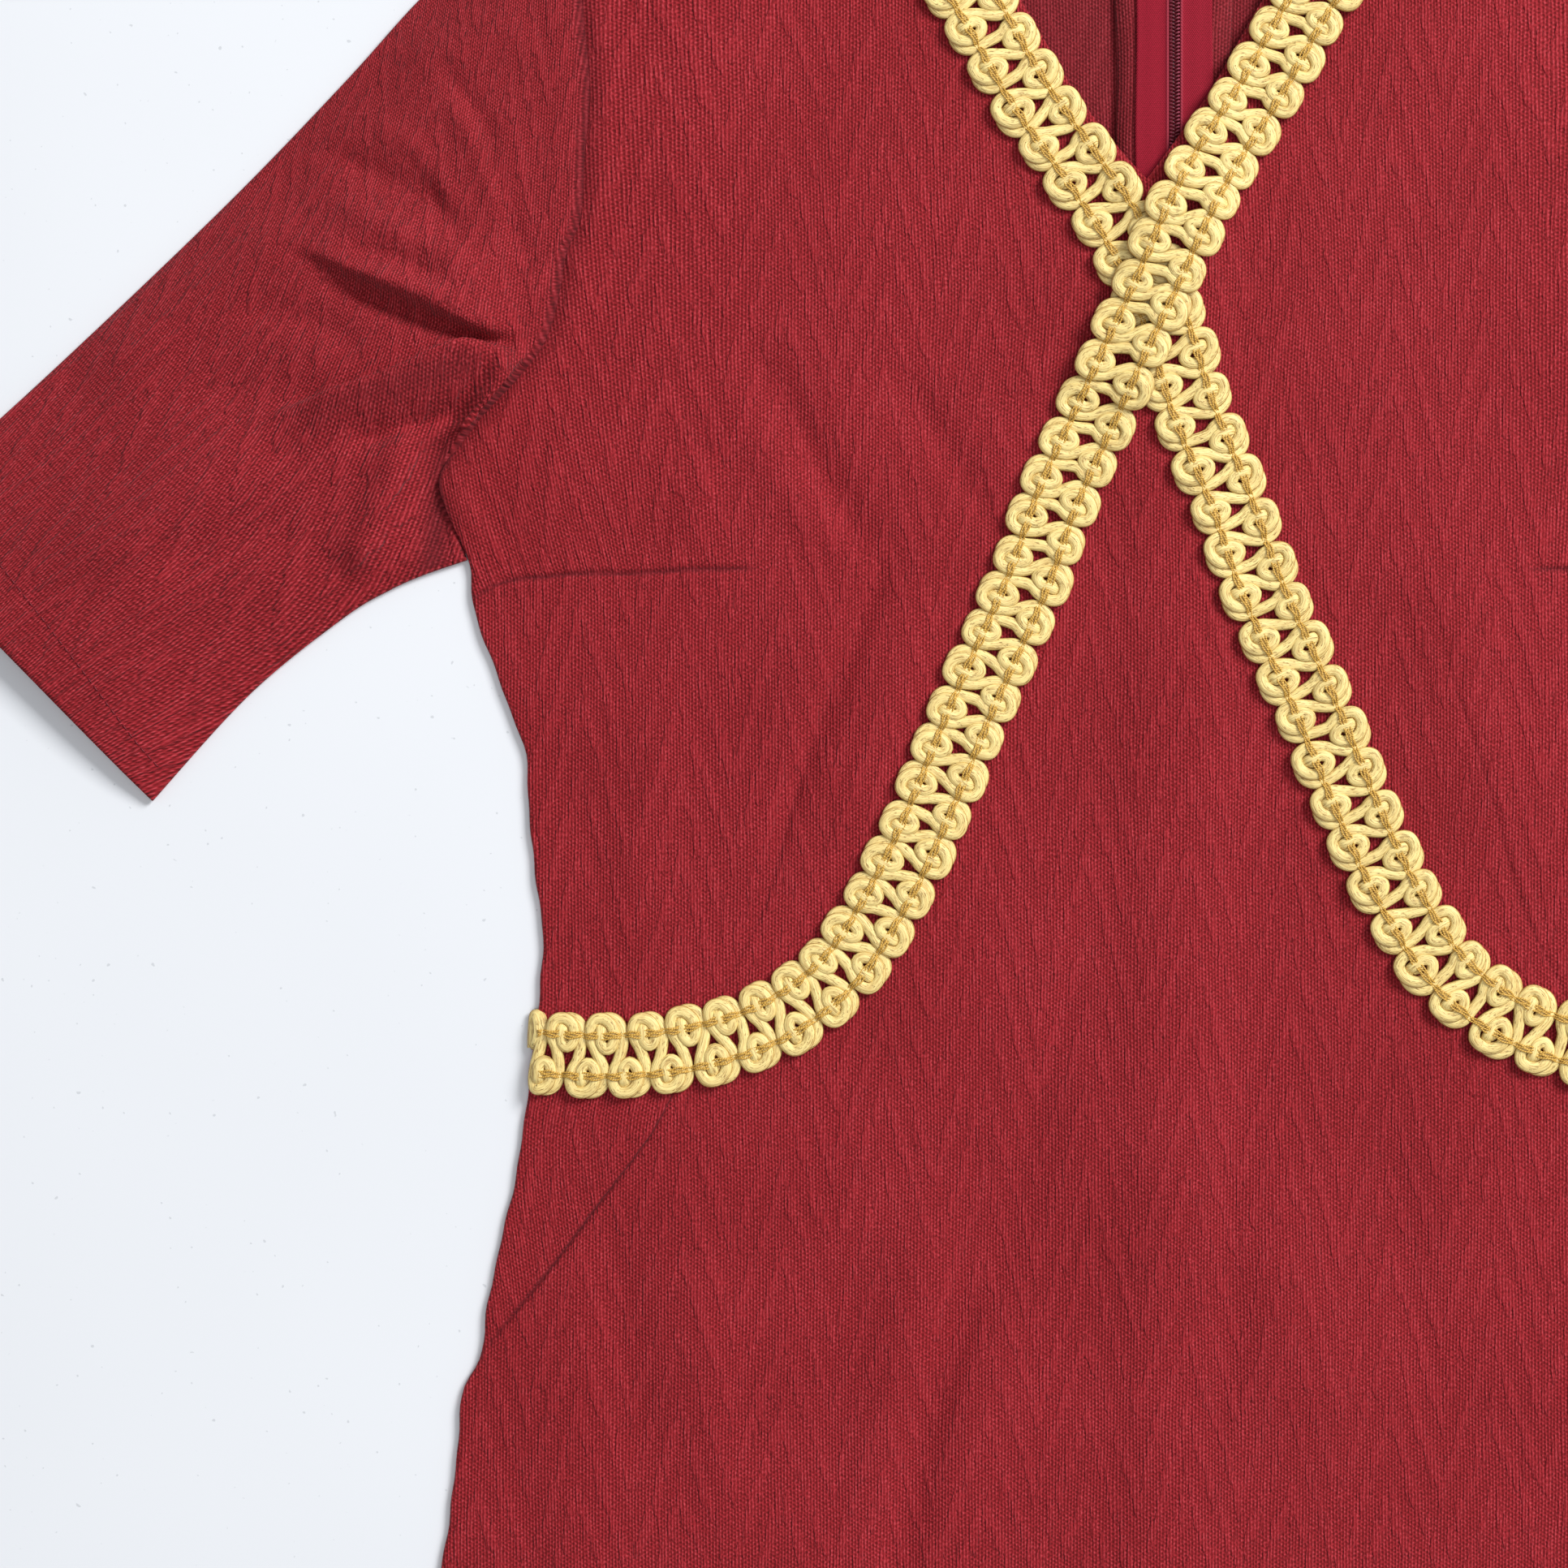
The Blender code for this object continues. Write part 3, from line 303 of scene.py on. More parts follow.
def seam_shade_of_front(across, down):
    """How dark a place is painted near a dart or armhole seam, from 0 to 1: the seam line and painted shade.
    """
    out = np.abs(across)
    bust = 0.85 * ease(119.0, 128.0, out) * np.exp(-(((down - read_table(BUST_DART, out)) / 0.65) ** 2))
    along = ease(262.0, 310.0, down) * (1.0 - ease(503.0, 507.0, down))
    waist = along * np.exp(-(((out - read_table(WAIST_DART, down)) / 0.7) ** 2))
    from_edge = read_table(OUTLINE, down) - out
    # Painted shade: a narrow dark line in the armhole seam and a wider, fainter band on the bodice beside
    # it.
    armhole = np.maximum(np.exp(-((from_edge / 1.3) ** 2)), 0.28 * np.exp(-((from_edge / 6.0) ** 2)))
    armhole = armhole * (1.0 - ease(UNDERARM_DOWN - 22.0, UNDERARM_DOWN - 2.0, down))
    return np.maximum(np.maximum(bust, mix(0.2, 0.75, ease(415.0, 470.0, down)) * waist), armhole)


def new_grid(name, columns, rows):
    """A flat grid to be shaped, with one point more than the given counts each way."""
    bpy.ops.object.select_all(action="DESELECT")
    bpy.ops.mesh.primitive_grid_add(x_subdivisions=columns, y_subdivisions=rows, size=2.0)
    piece = bpy.context.object
    piece.name = name
    piece.data.name = name
    return piece


def shape_grid(piece, columns, rows, points, grain=None):
    """Moves the grid's points to points[row, column], and keeps each one's place in the knit."""
    mesh = piece.data
    flat = np.empty(len(mesh.vertices) * 3)
    mesh.vertices.foreach_get("co", flat)
    flat = flat.reshape(-1, 3)
    column = np.rint((flat[:, 0] + 1.0) / 2.0 * columns).astype(int)
    row = np.rint((1.0 - flat[:, 1]) / 2.0 * rows).astype(int)
    mesh.vertices.foreach_set("co", points[row, column].ravel())
    if grain is not None:
        kept = mesh.attributes.new("grain", "FLOAT_VECTOR", "POINT")
        kept.data.foreach_set("vector", grain[row, column].ravel())
    mesh.update()


def clean_up(piece, merge=0.004):
    """Joins doubled points and points the faces outwards."""
    bpy.ops.object.select_all(action="DESELECT")
    piece.select_set(True)
    bpy.context.view_layer.objects.active = piece
    bpy.ops.object.mode_set(mode="EDIT")
    bpy.ops.mesh.select_all(action="SELECT")
    bpy.ops.mesh.remove_doubles(threshold=merge * MM)
    bpy.ops.mesh.normals_make_consistent(inside=False)
    bpy.ops.object.mode_set(mode="OBJECT")


def face_up(piece):
    """Turns an open sheet's faces over where its upper side looks down."""
    mesh = piece.data
    normals = np.empty(len(mesh.polygons) * 3)
    mesh.polygons.foreach_get("normal", normals)
    if normals.reshape(-1, 3)[:, 2].sum() < 0.0:
        mesh.flip_normals()


def apply_wall(piece, thickness, offset=-1.0):
    """Gives a sheet its thickness behind its faces."""
    wall = piece.modifiers.new("wall", "SOLIDIFY")
    wall.thickness = thickness * MM
    wall.offset = offset
    bpy.context.view_layer.objects.active = piece
    bpy.ops.object.modifier_apply(modifier=wall.name)
    piece.data.shade_smooth()


class Value:
    """A socket of a material; arithmetic on it adds the nodes."""

    def __init__(self, tree, socket):
        self.tree = tree
        self.socket = socket

    def node(self, kind, settings, inputs, output=0):
        """Adds any other node: its type, its settings, what feeds its sockets, and which output."""
        made = self.tree.nodes.new(kind)
        for name, setting in settings.items():
            setattr(made, name, setting)
        for name, source in inputs.items():
            if isinstance(source, Value):
                self.tree.links.new(source.socket, made.inputs[name])
            else:
                made.inputs[name].default_value = source
        return Value(self.tree, made.outputs[output])

    def math(self, operation, first, second=0.0):
        return self.node("ShaderNodeMath", {"operation": operation}, {0: first, 1: second})

    def __add__(self, other):
        return self.math("ADD", self, other)

    __radd__ = __add__

    def __sub__(self, other):
        return self.math("SUBTRACT", self, other)

    def __rsub__(self, other):
        return self.math("SUBTRACT", other, self)

    def __mul__(self, other):
        return self.math("MULTIPLY", self, other)

    __rmul__ = __mul__

    def __truediv__(self, other):
        return self.math("DIVIDE", self, other)

    def __rtruediv__(self, other):
        return self.math("DIVIDE", other, self)

    def wave(self, period):
        """Sine of this value with the given period, from 0 to 1."""
        return 0.5 + 0.5 * self.math("SINE", self * (2.0 * math.pi / period))

    def step(self, low, high):
        """Smooth step of this value from 0 at low to 1 at high."""
        return self.node("ShaderNodeMapRange", {"interpolation_type": "SMOOTHSTEP"},
                         {"Value": self, "From Min": low, "From Max": high})

    def between(self, first, second):
        """Colour mixed from two by this value."""
        settings = {"data_type": "RGBA"}
        return self.node("ShaderNodeMix", settings, {0: self, 6: first, 7: second}, 2)

    def scaled(self, x, y, z):
        """This vector times a number for each axis."""
        return self.node("ShaderNodeVectorMath", {"operation": "MULTIPLY"}, {0: self, 1: (x, y, z)})

    def noise(self, scale, detail=2.0):
        """Smooth noise over this vector, mostly 0.25 to 0.75."""
        return self.node("ShaderNodeTexNoise", {}, {"Vector": self, "Scale": scale, "Detail": detail})


def start_material(name, attribute):
    """A new material with its shader, and the attribute that its pattern follows."""
    material = bpy.data.materials.new(name)
    material.use_nodes = True
    tree = material.node_tree
    shader = tree.nodes["Principled BSDF"]
    maker = Value(tree, None)
    along = maker.node("ShaderNodeAttribute", {"attribute_name": attribute}, {}, 1)
    split = [along.node("ShaderNodeSeparateXYZ", {}, {0: along}, index) for index in (0, 1, 2)]
    return material, shader, along, split


def feed(shader, name, value):
    value.tree.links.new(value.socket, shader.inputs[name])


def bump(height, strength=1.0):
    """A normal from a height in millimetres."""
    return height.node("ShaderNodeBump", {}, {"Height": height * MM, "Distance": 1.0, "Strength": strength})


RIB_PITCH = 1.02
DOT_PITCH = 1.25
ZIGZAG_HALF = 16.0
ZIGZAG_SLOPE = 3.15
ZIGZAG_PITCH = 25.0
THREAD_IN_SHADE = (0.05, 0.003, 0.006, 1.0)


def knit_material(name, dark, light, pale, raised, streak_share):
    """Crepe knit: ribs 1 mm apart, raised irregular streaks over a darker dotted mesh ground."""
    material, shader, spot, (u, v, seam) = start_material(name, "grain")
    grain = spot.scaled(1.0, 1.0, 0.0)
    wander = 2.6 * grain.scaled(0.03, 0.012, 0.0).noise(1.0) + 0.7 * grain.scaled(0.3, 0.05, 0.0).noise(1.0)
    across = u + wander
    rib = across.wave(RIB_PITCH)
    dash = 0.5 + 2.0 * (across.wave(2.0 * RIB_PITCH) - 0.5) * ((v + 0.5 * wander).wave(DOT_PITCH) - 0.5)
    drift = 16.0 * grain.scaled(0.05, 0.015, 0.0).noise(1.0)
    zigzag = v + ZIGZAG_SLOPE * u.math("PINGPONG", across, ZIGZAG_HALF) + drift
    patch = grain.scaled(0.045, 0.02, 0.0).noise(1.0)
    stroke = 0.7 * grain.scaled(0.52, 0.09, 0.0).noise(1.0, 2.0) + 0.3 * (patch - 0.5)
    row = zigzag.wave(ZIGZAG_PITCH)
    streak = (stroke + 0.20 * row).step(0.46 - streak_share, 0.55 - streak_share)
    fuzz = grain.scaled(1.0, 0.6, 0.0).noise(1.7, 3.0)
    broad = grain.noise(0.018, 2.0)
    ground = 1.0 - 0.7 * streak
    tone = 0.40 * rib + 0.13 * streak + 0.34 * dash * ground + 1.2 * (fuzz - 0.5) + 0.2 * (broad - 0.5)
    tone = tone + 0.07 * row + 0.02
    # Partly real, partly painted highlight: the brightest parts of the knit turn towards a paler pink, for
    # pale fuzzy threads and for sheen on the yarn.
    shine = 0.42 * tone.step(0.5, 1.05)
    knit = shine.between(tone.step(0.0, 0.95).between(dark, light), pale)
    # Painted shade, partly real: along seam lines, in their grooves and in the hollows of folds, the knit is
    # darkened towards THREAD_IN_SHADE as the grain's third value asks.
    feed(shader, "Base Color", (0.72 * seam).between(knit, THREAD_IN_SHADE))
    height = raised * streak + 0.13 * rib + 0.13 * dash * ground + 0.16 * fuzz
    feed(shader, "Normal", bump(height * (1.0 - 0.8 * seam)))
    shader.inputs["Roughness"].default_value = 0.86
    shader.inputs["Specular IOR Level"].default_value = 0.25
    shader.inputs["Sheen Weight"].default_value = 0.12
    shader.inputs["Sheen Roughness"].default_value = 0.5
    shader.inputs["Sheen Tint"].default_value = (0.9, 0.35, 0.38, 1.0)
    return material


row_downs = front_rows()
last_row = len(row_downs) - 1
halves = []
for half_side in (-1, 1):
    half_columns = FRONT_ROLL + FRONT_COLUMNS - 1
    half = new_grid("front_half", half_columns, last_row)
    half_across, half_down, half_top = front_half(half_side, row_downs)
    half_points = place(half_across, half_down, half_top)
    rib_across, rib_along = grain_of_front(half_across, half_down)
    half_seam_shade = seam_shade_of_front(half_across, half_down)
    # The third value is the painted seam shade that the knit's colour follows.
    half_grain = np.stack((rib_across * half_side, rib_along, half_seam_shade), -1)
    if half_side > 0:
        half_points = half_points[:, ::-1]
        half_grain = half_grain[:, ::-1]
    shape_grid(half, half_columns, last_row, half_points, half_grain)
    halves.append(half)
bpy.ops.object.select_all(action="DESELECT")
for half in halves:
    half.select_set(True)
bpy.context.view_layer.objects.active = halves[0]
bpy.ops.object.join()
front = halves[0]
front.name = "front_knit"
clean_up(front, 0.02)
face_up(front)
apply_wall(front, FRONT_WALL)
crepe = knit_material("crepe_knit", (0.12, 0.001, 0.002, 1.0), (0.45, 0.021, 0.032, 1.0),
                      (0.60, 0.120, 0.145, 1.0), 0.42, 0.0)
front.data.materials.clear()
front.data.materials.append(crepe)
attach(front, "dress")
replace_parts(front, "front")


# The back is two panels of the same knit joined down the middle. Their centre edges turn in as the
# zip's seam allowances, and the wrong side of the knit, flatter and darker, shows through the V.
BACK_NECK_DEPTH = 23.0
ALLOWANCE = 18.5
BACK_COLUMNS = 44
BACK_FOLD_SPOTS = (
    (ALLOWANCE, 2.7), (13.0, 2.75), (7.0, 2.8), (3.0, 2.75), (1.5, 2.7), (0.6, 2.35), (0.15, 1.35),
    (0.5, 0.4), (1.5, 0.0),
)


def back_top_down(across):
    """Down of the back's neckline and shoulder at one place across."""
    out = np.abs(across)
    neck = BACK_NECK_DEPTH * np.sqrt(np.clip(1.0 - (out / NECK_OUT) ** 4, 0.0, 1.0))
    shoulder = SHOULDER_DROP * (out - NECK_OUT) / (SHOULDER_OUT - NECK_OUT)
    return np.where(out < NECK_OUT, neck, shoulder)


back_knit = knit_material("crepe_knit_inside", (0.09, 0.001, 0.003, 1.0), (0.31, 0.018, 0.028, 1.0),
                          (0.40, 0.090, 0.105, 1.0), 0.12, -0.05)
back_downs = np.array([down for down in row_downs if down < 580.0 or down > 1340.0])
back_downs = np.unique(np.concatenate((back_downs, np.linspace(590.0, 1330.0, 50))))
for back_name, node_name, back_side in (
        ("back_knit_left", "back_left", -1), ("back_knit_right", "back_right", 1)):
    columns = BACK_COLUMNS + len(BACK_FOLD_SPOTS) - 1
    share = np.linspace(0.0, 1.0, BACK_COLUMNS + 1)[None, 1:]
    top_x = mix(ZIP_OUT, back_side * SHOULDER_OUT, share)
    drop = ((back_downs - SHOULDER_DROP) / (V_DEPTH - SHOULDER_DROP))[:, None]
    down = np.where(drop < 1.0, mix(back_top_down(top_x), V_DEPTH, np.clip(drop, 0, 1)),
                    back_downs[:, None])
    clear = 1.5 * ease(UNDERARM_DOWN - 24.0, UNDERARM_DOWN - 13.0, back_downs)[:, None]
    edge = back_side * (read_table(OUTLINE, back_downs)[:, None] - clear)
    start = zip_across(down) + back_side * 1.5
    across = mix(start, edge, share)
    sag = hem_sag(across, back_downs[:, None])
    lie = 0.22 * (1.0 + ripple(across, down, 19.0)) * ease(0.0, 12.0, np.abs(across - edge))
    lie = lie * ease(6.0, 26.0, np.abs(across - zip_across(down)))
    body = place(across, down + sag, 0.02 + lie)
    fold = []
    centre_down = np.where(drop[:, 0] < 1.0, mix(back_top_down(ZIP_OUT), V_DEPTH, np.clip(drop[:, 0], 0, 1)),
                           back_downs)
    for fold_out, fold_top in BACK_FOLD_SPOTS:
        centre = zip_across(centre_down)
        waver = 0.45 * np.sin(centre_down / 9.0) * (fold_out > 10.0)
        fold.append(place(centre + back_side * (fold_out + waver),
                          centre_down + hem_sag(centre, back_downs), 0.0 * centre_down + fold_top))
    points = np.concatenate((np.stack(fold, 1), body), 1)
    knit_across = np.concatenate((-np.array([spot[0] for spot in BACK_FOLD_SPOTS])[None, :]
                                  + 0.0 * back_downs[:, None], np.abs(across - start) + 1.0), 1)
    knit_down = np.concatenate((centre_down[:, None] + 0.0 * knit_across[:, :len(fold)], down), 1)
    grain = np.stack((knit_across * back_side, knit_down, 0.0 * knit_down), -1)
    if back_side < 0:
        points, grain = points[:, ::-1], grain[:, ::-1]
    back = new_grid(back_name, columns, len(back_downs) - 1)
    shape_grid(back, columns, len(back_downs) - 1, points, grain)
    wall = back.modifiers.new("wall", "SOLIDIFY")
    wall.thickness = FRONT_WALL * MM
    wall.offset = 1.0
    bpy.ops.object.modifier_apply(modifier=wall.name)
    clean_up(back, 0.001)
    back.data.shade_smooth()
    back.data.materials.clear()
    back.data.materials.append(back_knit)
    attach(back, "dress")
    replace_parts(back, node_name)


# The sleeves are set-in elbow sleeves of the same knit, each cut in one and joined under the arm,
# pressed flat. Cloth that has no room to lie smooth folds over at the lower armhole.
SLEEVE_TOP_EDGE = (
    (207.5, 56.5), (229.2, 76.9), (252.6, 102.8), (290, 141.5), (344, 193), (398, 242),
)
SLEEVE_LOW_EDGE = ((227.2, 258.5), (238, 263.3), (252.6, 272.1), (282, 296), (313, 330))
UPPER_COLUMNS = 132
LOWER_COLUMNS = 26
EDGE_COLUMNS = 4
SLEEVE_SECTIONS = 150
EDGE_SHARE = 0.02
SLEEVE_BODY = 4.6
SLEEVE_HEAD = 0.9
SLEEVE_WAVES = 0.5
TUCK_UNDER = 2.2
TUCK_DOWN = 1.3
SEAM_SHADE_SHARE = 0.008
UNDERARM_SEAM = (
    (217.5, 246), (226, 251.4), (239.4, 260.6), (253.1, 269), (280, 291), (309, 324),
)
# Creases: half width on the shoulder side, half width on the underarm side, height, sharpness, how
# far the crest leans to the shoulder side, then points out and down
SLEEVE_CREASES = {
    -1: (
        (2.2, 9, 6.4, 2, 3, (282, 212), (262, 206.5), (246, 201.5), (232.5, 196.7),
         (217.4, 189.2), (210.5, 188.2), (204, 189), (193, 190)),
        (15, 2.4, 4.6, 2, -2, (276, 150), (256, 158), (240, 165), (226, 171),
         (214, 176.5), (205, 180), (192, 182)),
        (2.4, 3, -3, 2, 0, (264, 163), (240, 173), (226, 178.5), (214, 182.5),
         (205, 184.5), (196, 185)),
        (4, 3, 5.4, 4, -2.4, (193.5, 186), (200.5, 193.5), (206.5, 202), (213.5, 210.5),
         (219.5, 215.5)),
        (4, 3, -3.4, 2, 0, (206, 200), (213, 206.6), (223, 209.6), (234, 213),
         (252, 219)),
        (8, 4.5, 4.6, 2, 0, (233, 206), (234.2, 220.8), (235.9, 230.3), (239.6, 240.6),
         (246.4, 251.9), (254, 260)),
        (4, 4.5, -4.6, 2, 0, (226, 212), (223, 223), (222.5, 232), (223, 242),
         (226, 252)),
        (1.6, 1.6, -1.3, 2, 0, *UNDERARM_SEAM),
        (1.8, 2.4, 1, 2, 0, (219, 249), (226, 254.6), (239.4, 263.6), (253.1, 272)),
        (14, 11, 2.8, 2, 0, (338, 204), (300, 174), (262, 146)),
        (14, 12, 3.4, 2, 0, (352, 266), (310, 240), (268, 214)),
        (9, 9, 1.6, 2, 0, (240, 100), (214, 92), (190, 84)),
        (5, 4, -2.2, 2, 0, (264, 122), (250, 129), (234, 136), (216, 146)),
        (4, 4, 1.8, 2, 0.6, (262, 137), (244, 146), (224, 155), (206, 166)),
        (3.5, 3, -1.8, 2, 0, (258, 153), (238, 158), (216, 168)),
        (3.5, 3.5, 1.6, 2, 0.5, (252, 163), (232, 166), (214, 173)),
        (3.5, 3.5, 1.5, 2, 0, (222, 104), (209, 126), (200, 150)),
        (3, 3, -1.5, 2, 0, (212, 116), (202, 138), (195, 162)),
        (4, 4, 1.4, 2, 0, (248, 110), (230, 126), (214, 148)),
        (3, 3, -1.2, 2, 0, (226, 92), (212, 110), (202, 128)),
        (3, 3, -1.3, 2, 0, (240, 118), (226, 134), (214, 156)),
        (5, 4, -1.3, 2, 0, (290, 176), (264, 178), (244, 190)),
        (8, 8, -1.6, 2, 0, (300, 204), (276, 200), (256, 208)),
        (7, 7, -1.5, 2, 0, (320, 262), (290, 250), (262, 240)),
    ),
    1: (
        (2.4, 8, 6.4, 2, 2.8, (262, 214), (240, 203), (220, 196), (203, 194),
         (196, 192)),
        (14, 2.6, 4, 2, -1.8, (276, 146), (246, 162), (220, 175), (194, 184)),
        (2.6, 3.2, -3, 2, 0, (270, 158), (246, 170), (220, 182), (200, 187)),
        (4.2, 3.6, 4.4, 4, -2, (193.5, 188), (203, 198), (212, 208.5), (219, 215)),
        (4, 3.4, -3.2, 2, 0, (208, 203), (218, 209), (232, 214), (250, 222)),
        (7, 4.6, 4.2, 2, 0, (233, 208), (236.5, 224), (240, 240), (250, 256)),
        (4, 4.2, -4, 2, 0, (226.5, 214), (224, 232), (225.5, 250)),
        (1.6, 1.6, -1.3, 2, 0, *UNDERARM_SEAM),
        (13, 11, 3.2, 2, 0, (344, 222), (300, 190), (256, 160)),
        (12, 12, 2.8, 2, 0, (352, 280), (316, 258), (276, 232)),
        (9, 9, 1.8, 2, 0, (234, 92), (212, 90), (190, 90)),
        (5, 4, -2, 2, 0, (266, 132), (246, 138), (222, 150)),
        (4, 4, 1.7, 2, 0.5, (256, 146), (238, 152), (216, 164)),
        (3.5, 3.5, 1.5, 2, 0, (234, 112), (216, 132), (202, 158)),
        (3, 3, -1.4, 2, 0, (224, 112), (208, 134), (197, 164)),
        (7, 7, -1.5, 2, 0, (312, 222), (284, 212), (256, 212)),
    ),
}


CURVE_STEPS = 24


def smooth_line(points, steps):
    """Evenly spaced points on a smooth curve through the given ones, and its length."""
    rough = np.array(points, dtype=float)
    before = np.concatenate((rough[:1], rough[:-2]))
    start, end = rough[:-1], rough[1:]
    after = np.concatenate((rough[2:], rough[-1:]))
    t = (np.arange(CURVE_STEPS) / CURVE_STEPS)[None, :, None]
    before, start, end, after = (part[:, None, :] for part in (before, start, end, after))
    fine = 0.5 * (2 * start + (end - before) * t + (2 * before - 5 * start + 4 * end - after) * t**2
                  + (3 * start - before - 3 * end + after) * t**3)
    fine = np.concatenate((fine.reshape(-1, rough.shape[1]), rough[-1:]))
    reach = np.concatenate(((0.0,), np.cumsum(np.linalg.norm(np.diff(fine, axis=0), axis=1))))
    targets = np.linspace(0.0, reach[-1], steps + 1)
    line = np.stack([np.interp(targets, reach, fine[:, axis]) for axis in range(rough.shape[1])], -1)
    return line, reach[-1]


CREASE_STEPS = 24
CREASE_RISE = 1.2


def hollow_shade(out, down):
    """How much painted shade a place gets in the narrow hollows beside the underarm fold, from 0 to 1."""
    beside = np.exp(-(((out - 222.0 - 0.12 * (down - 236.0)) / 4.6) ** 2)) * ease(208.0, 226.0, down)
    under = np.exp(-(((down - 192.5 - 0.33 * (out - 206.0)) / 4.0) ** 2)) * ease(204.0, 216.0, out)
    return np.maximum(0.72 * beside, 0.34 * under * (1.0 - ease(236.0, 268.0, out)))


def crease_shape(creases, out, down):
    """Height and sideways lean of ridges and troughs along bent lines."""
    height = np.zeros(out.shape)
    lean_out = np.zeros(out.shape)
    lean_down = np.zeros(out.shape)
    for shoulder_side, arm_side, rise, sharpness, lean, *points in creases:
        line, _ = smooth_line(points, CREASE_STEPS)
        nearest = np.full(out.shape, 1e9)
        signed, at = np.zeros(out.shape), np.zeros(out.shape)
        normal_out, normal_down = np.zeros(out.shape), np.zeros(out.shape)
        facing = math.copysign(1.0, line[-1][0] - line[0][0])
        for index in range(CREASE_STEPS):
            start, run = line[index], line[index + 1] - line[index]
            share = ((out - start[0]) * run[0] + (down - start[1]) * run[1]) / run.dot(run)
            share = np.clip(share, 0.0, 1.0)
            off_out, off_down = out - start[0] - share * run[0], down - start[1] - share * run[1]
            gap = np.hypot(off_out, off_down)
            closer = gap < nearest
            nearest = np.where(closer, gap, nearest)
            signed = np.where(closer, run[0] * off_down - run[1] * off_out, signed)
            at = np.where(closer, (index + share) / CREASE_STEPS, at)
            normal_out = np.where(closer, facing * run[1] / np.hypot(*run), normal_out)
            normal_down = np.where(closer, -facing * run[0] / np.hypot(*run), normal_down)
        width = np.where(signed * facing < 0.0, shoulder_side, arm_side)
        tail = ease(0.0, 0.36, at) * ease(0.0, 0.22, 1.0 - at)
        profile = tail * np.exp(-((nearest / width) ** sharpness))
        height += CREASE_RISE * rise * profile
        lean_out += lean * normal_out * profile
        lean_down += lean * normal_down * profile
    return height, lean_out, lean_down


sleeve_crepe = knit_material("crepe_knit_sleeve", (0.10, 0.001, 0.002, 1.0), (0.45, 0.021, 0.032, 1.0),
                             (0.62, 0.130, 0.155, 1.0), 0.62, 0.015)


def sleeve_plan(along, share):
    """Out and down of a place on a sleeve: along it from 0 to 1, and round from shoulder to underarm."""
    keys = np.linspace(SHOULDER_DROP, UNDERARM_DOWN, 160)
    clear = 0.3 + 0.9 * (1.0 - ease(SHOULDER_DROP, SHOULDER_DROP + 18.0, keys))
    armhole = np.stack((read_table(OUTLINE, keys) + clear, keys), -1)
    reach = np.concatenate(((0.0,), np.cumsum(np.linalg.norm(np.diff(armhole, axis=0), axis=1))))
    reach /= reach[-1]
    top, _ = smooth_line((tuple(armhole[0]),) + SLEEVE_TOP_EDGE, 80)
    low, _ = smooth_line((tuple(armhole[-1]),) + SLEEVE_LOW_EDGE, 80)
    steps = np.linspace(0.0, 1.0, 81)

    def follow(line, keys_of_line, value):
        return np.stack([np.interp(value, keys_of_line, line[:, axis]) for axis in (0, 1)], -1)

    at_top, at_low = follow(top, steps, along), follow(low, steps, along)
    at_arm = follow(armhole, reach, share)
    along, share = along[..., None], share[..., None]
    cuff = mix(top[-1], low[-1], share)
    corners = mix(mix(armhole[0], armhole[-1], share), cuff, along)
    return mix(at_top, at_low, share) + mix(at_arm, cuff, along) - corners


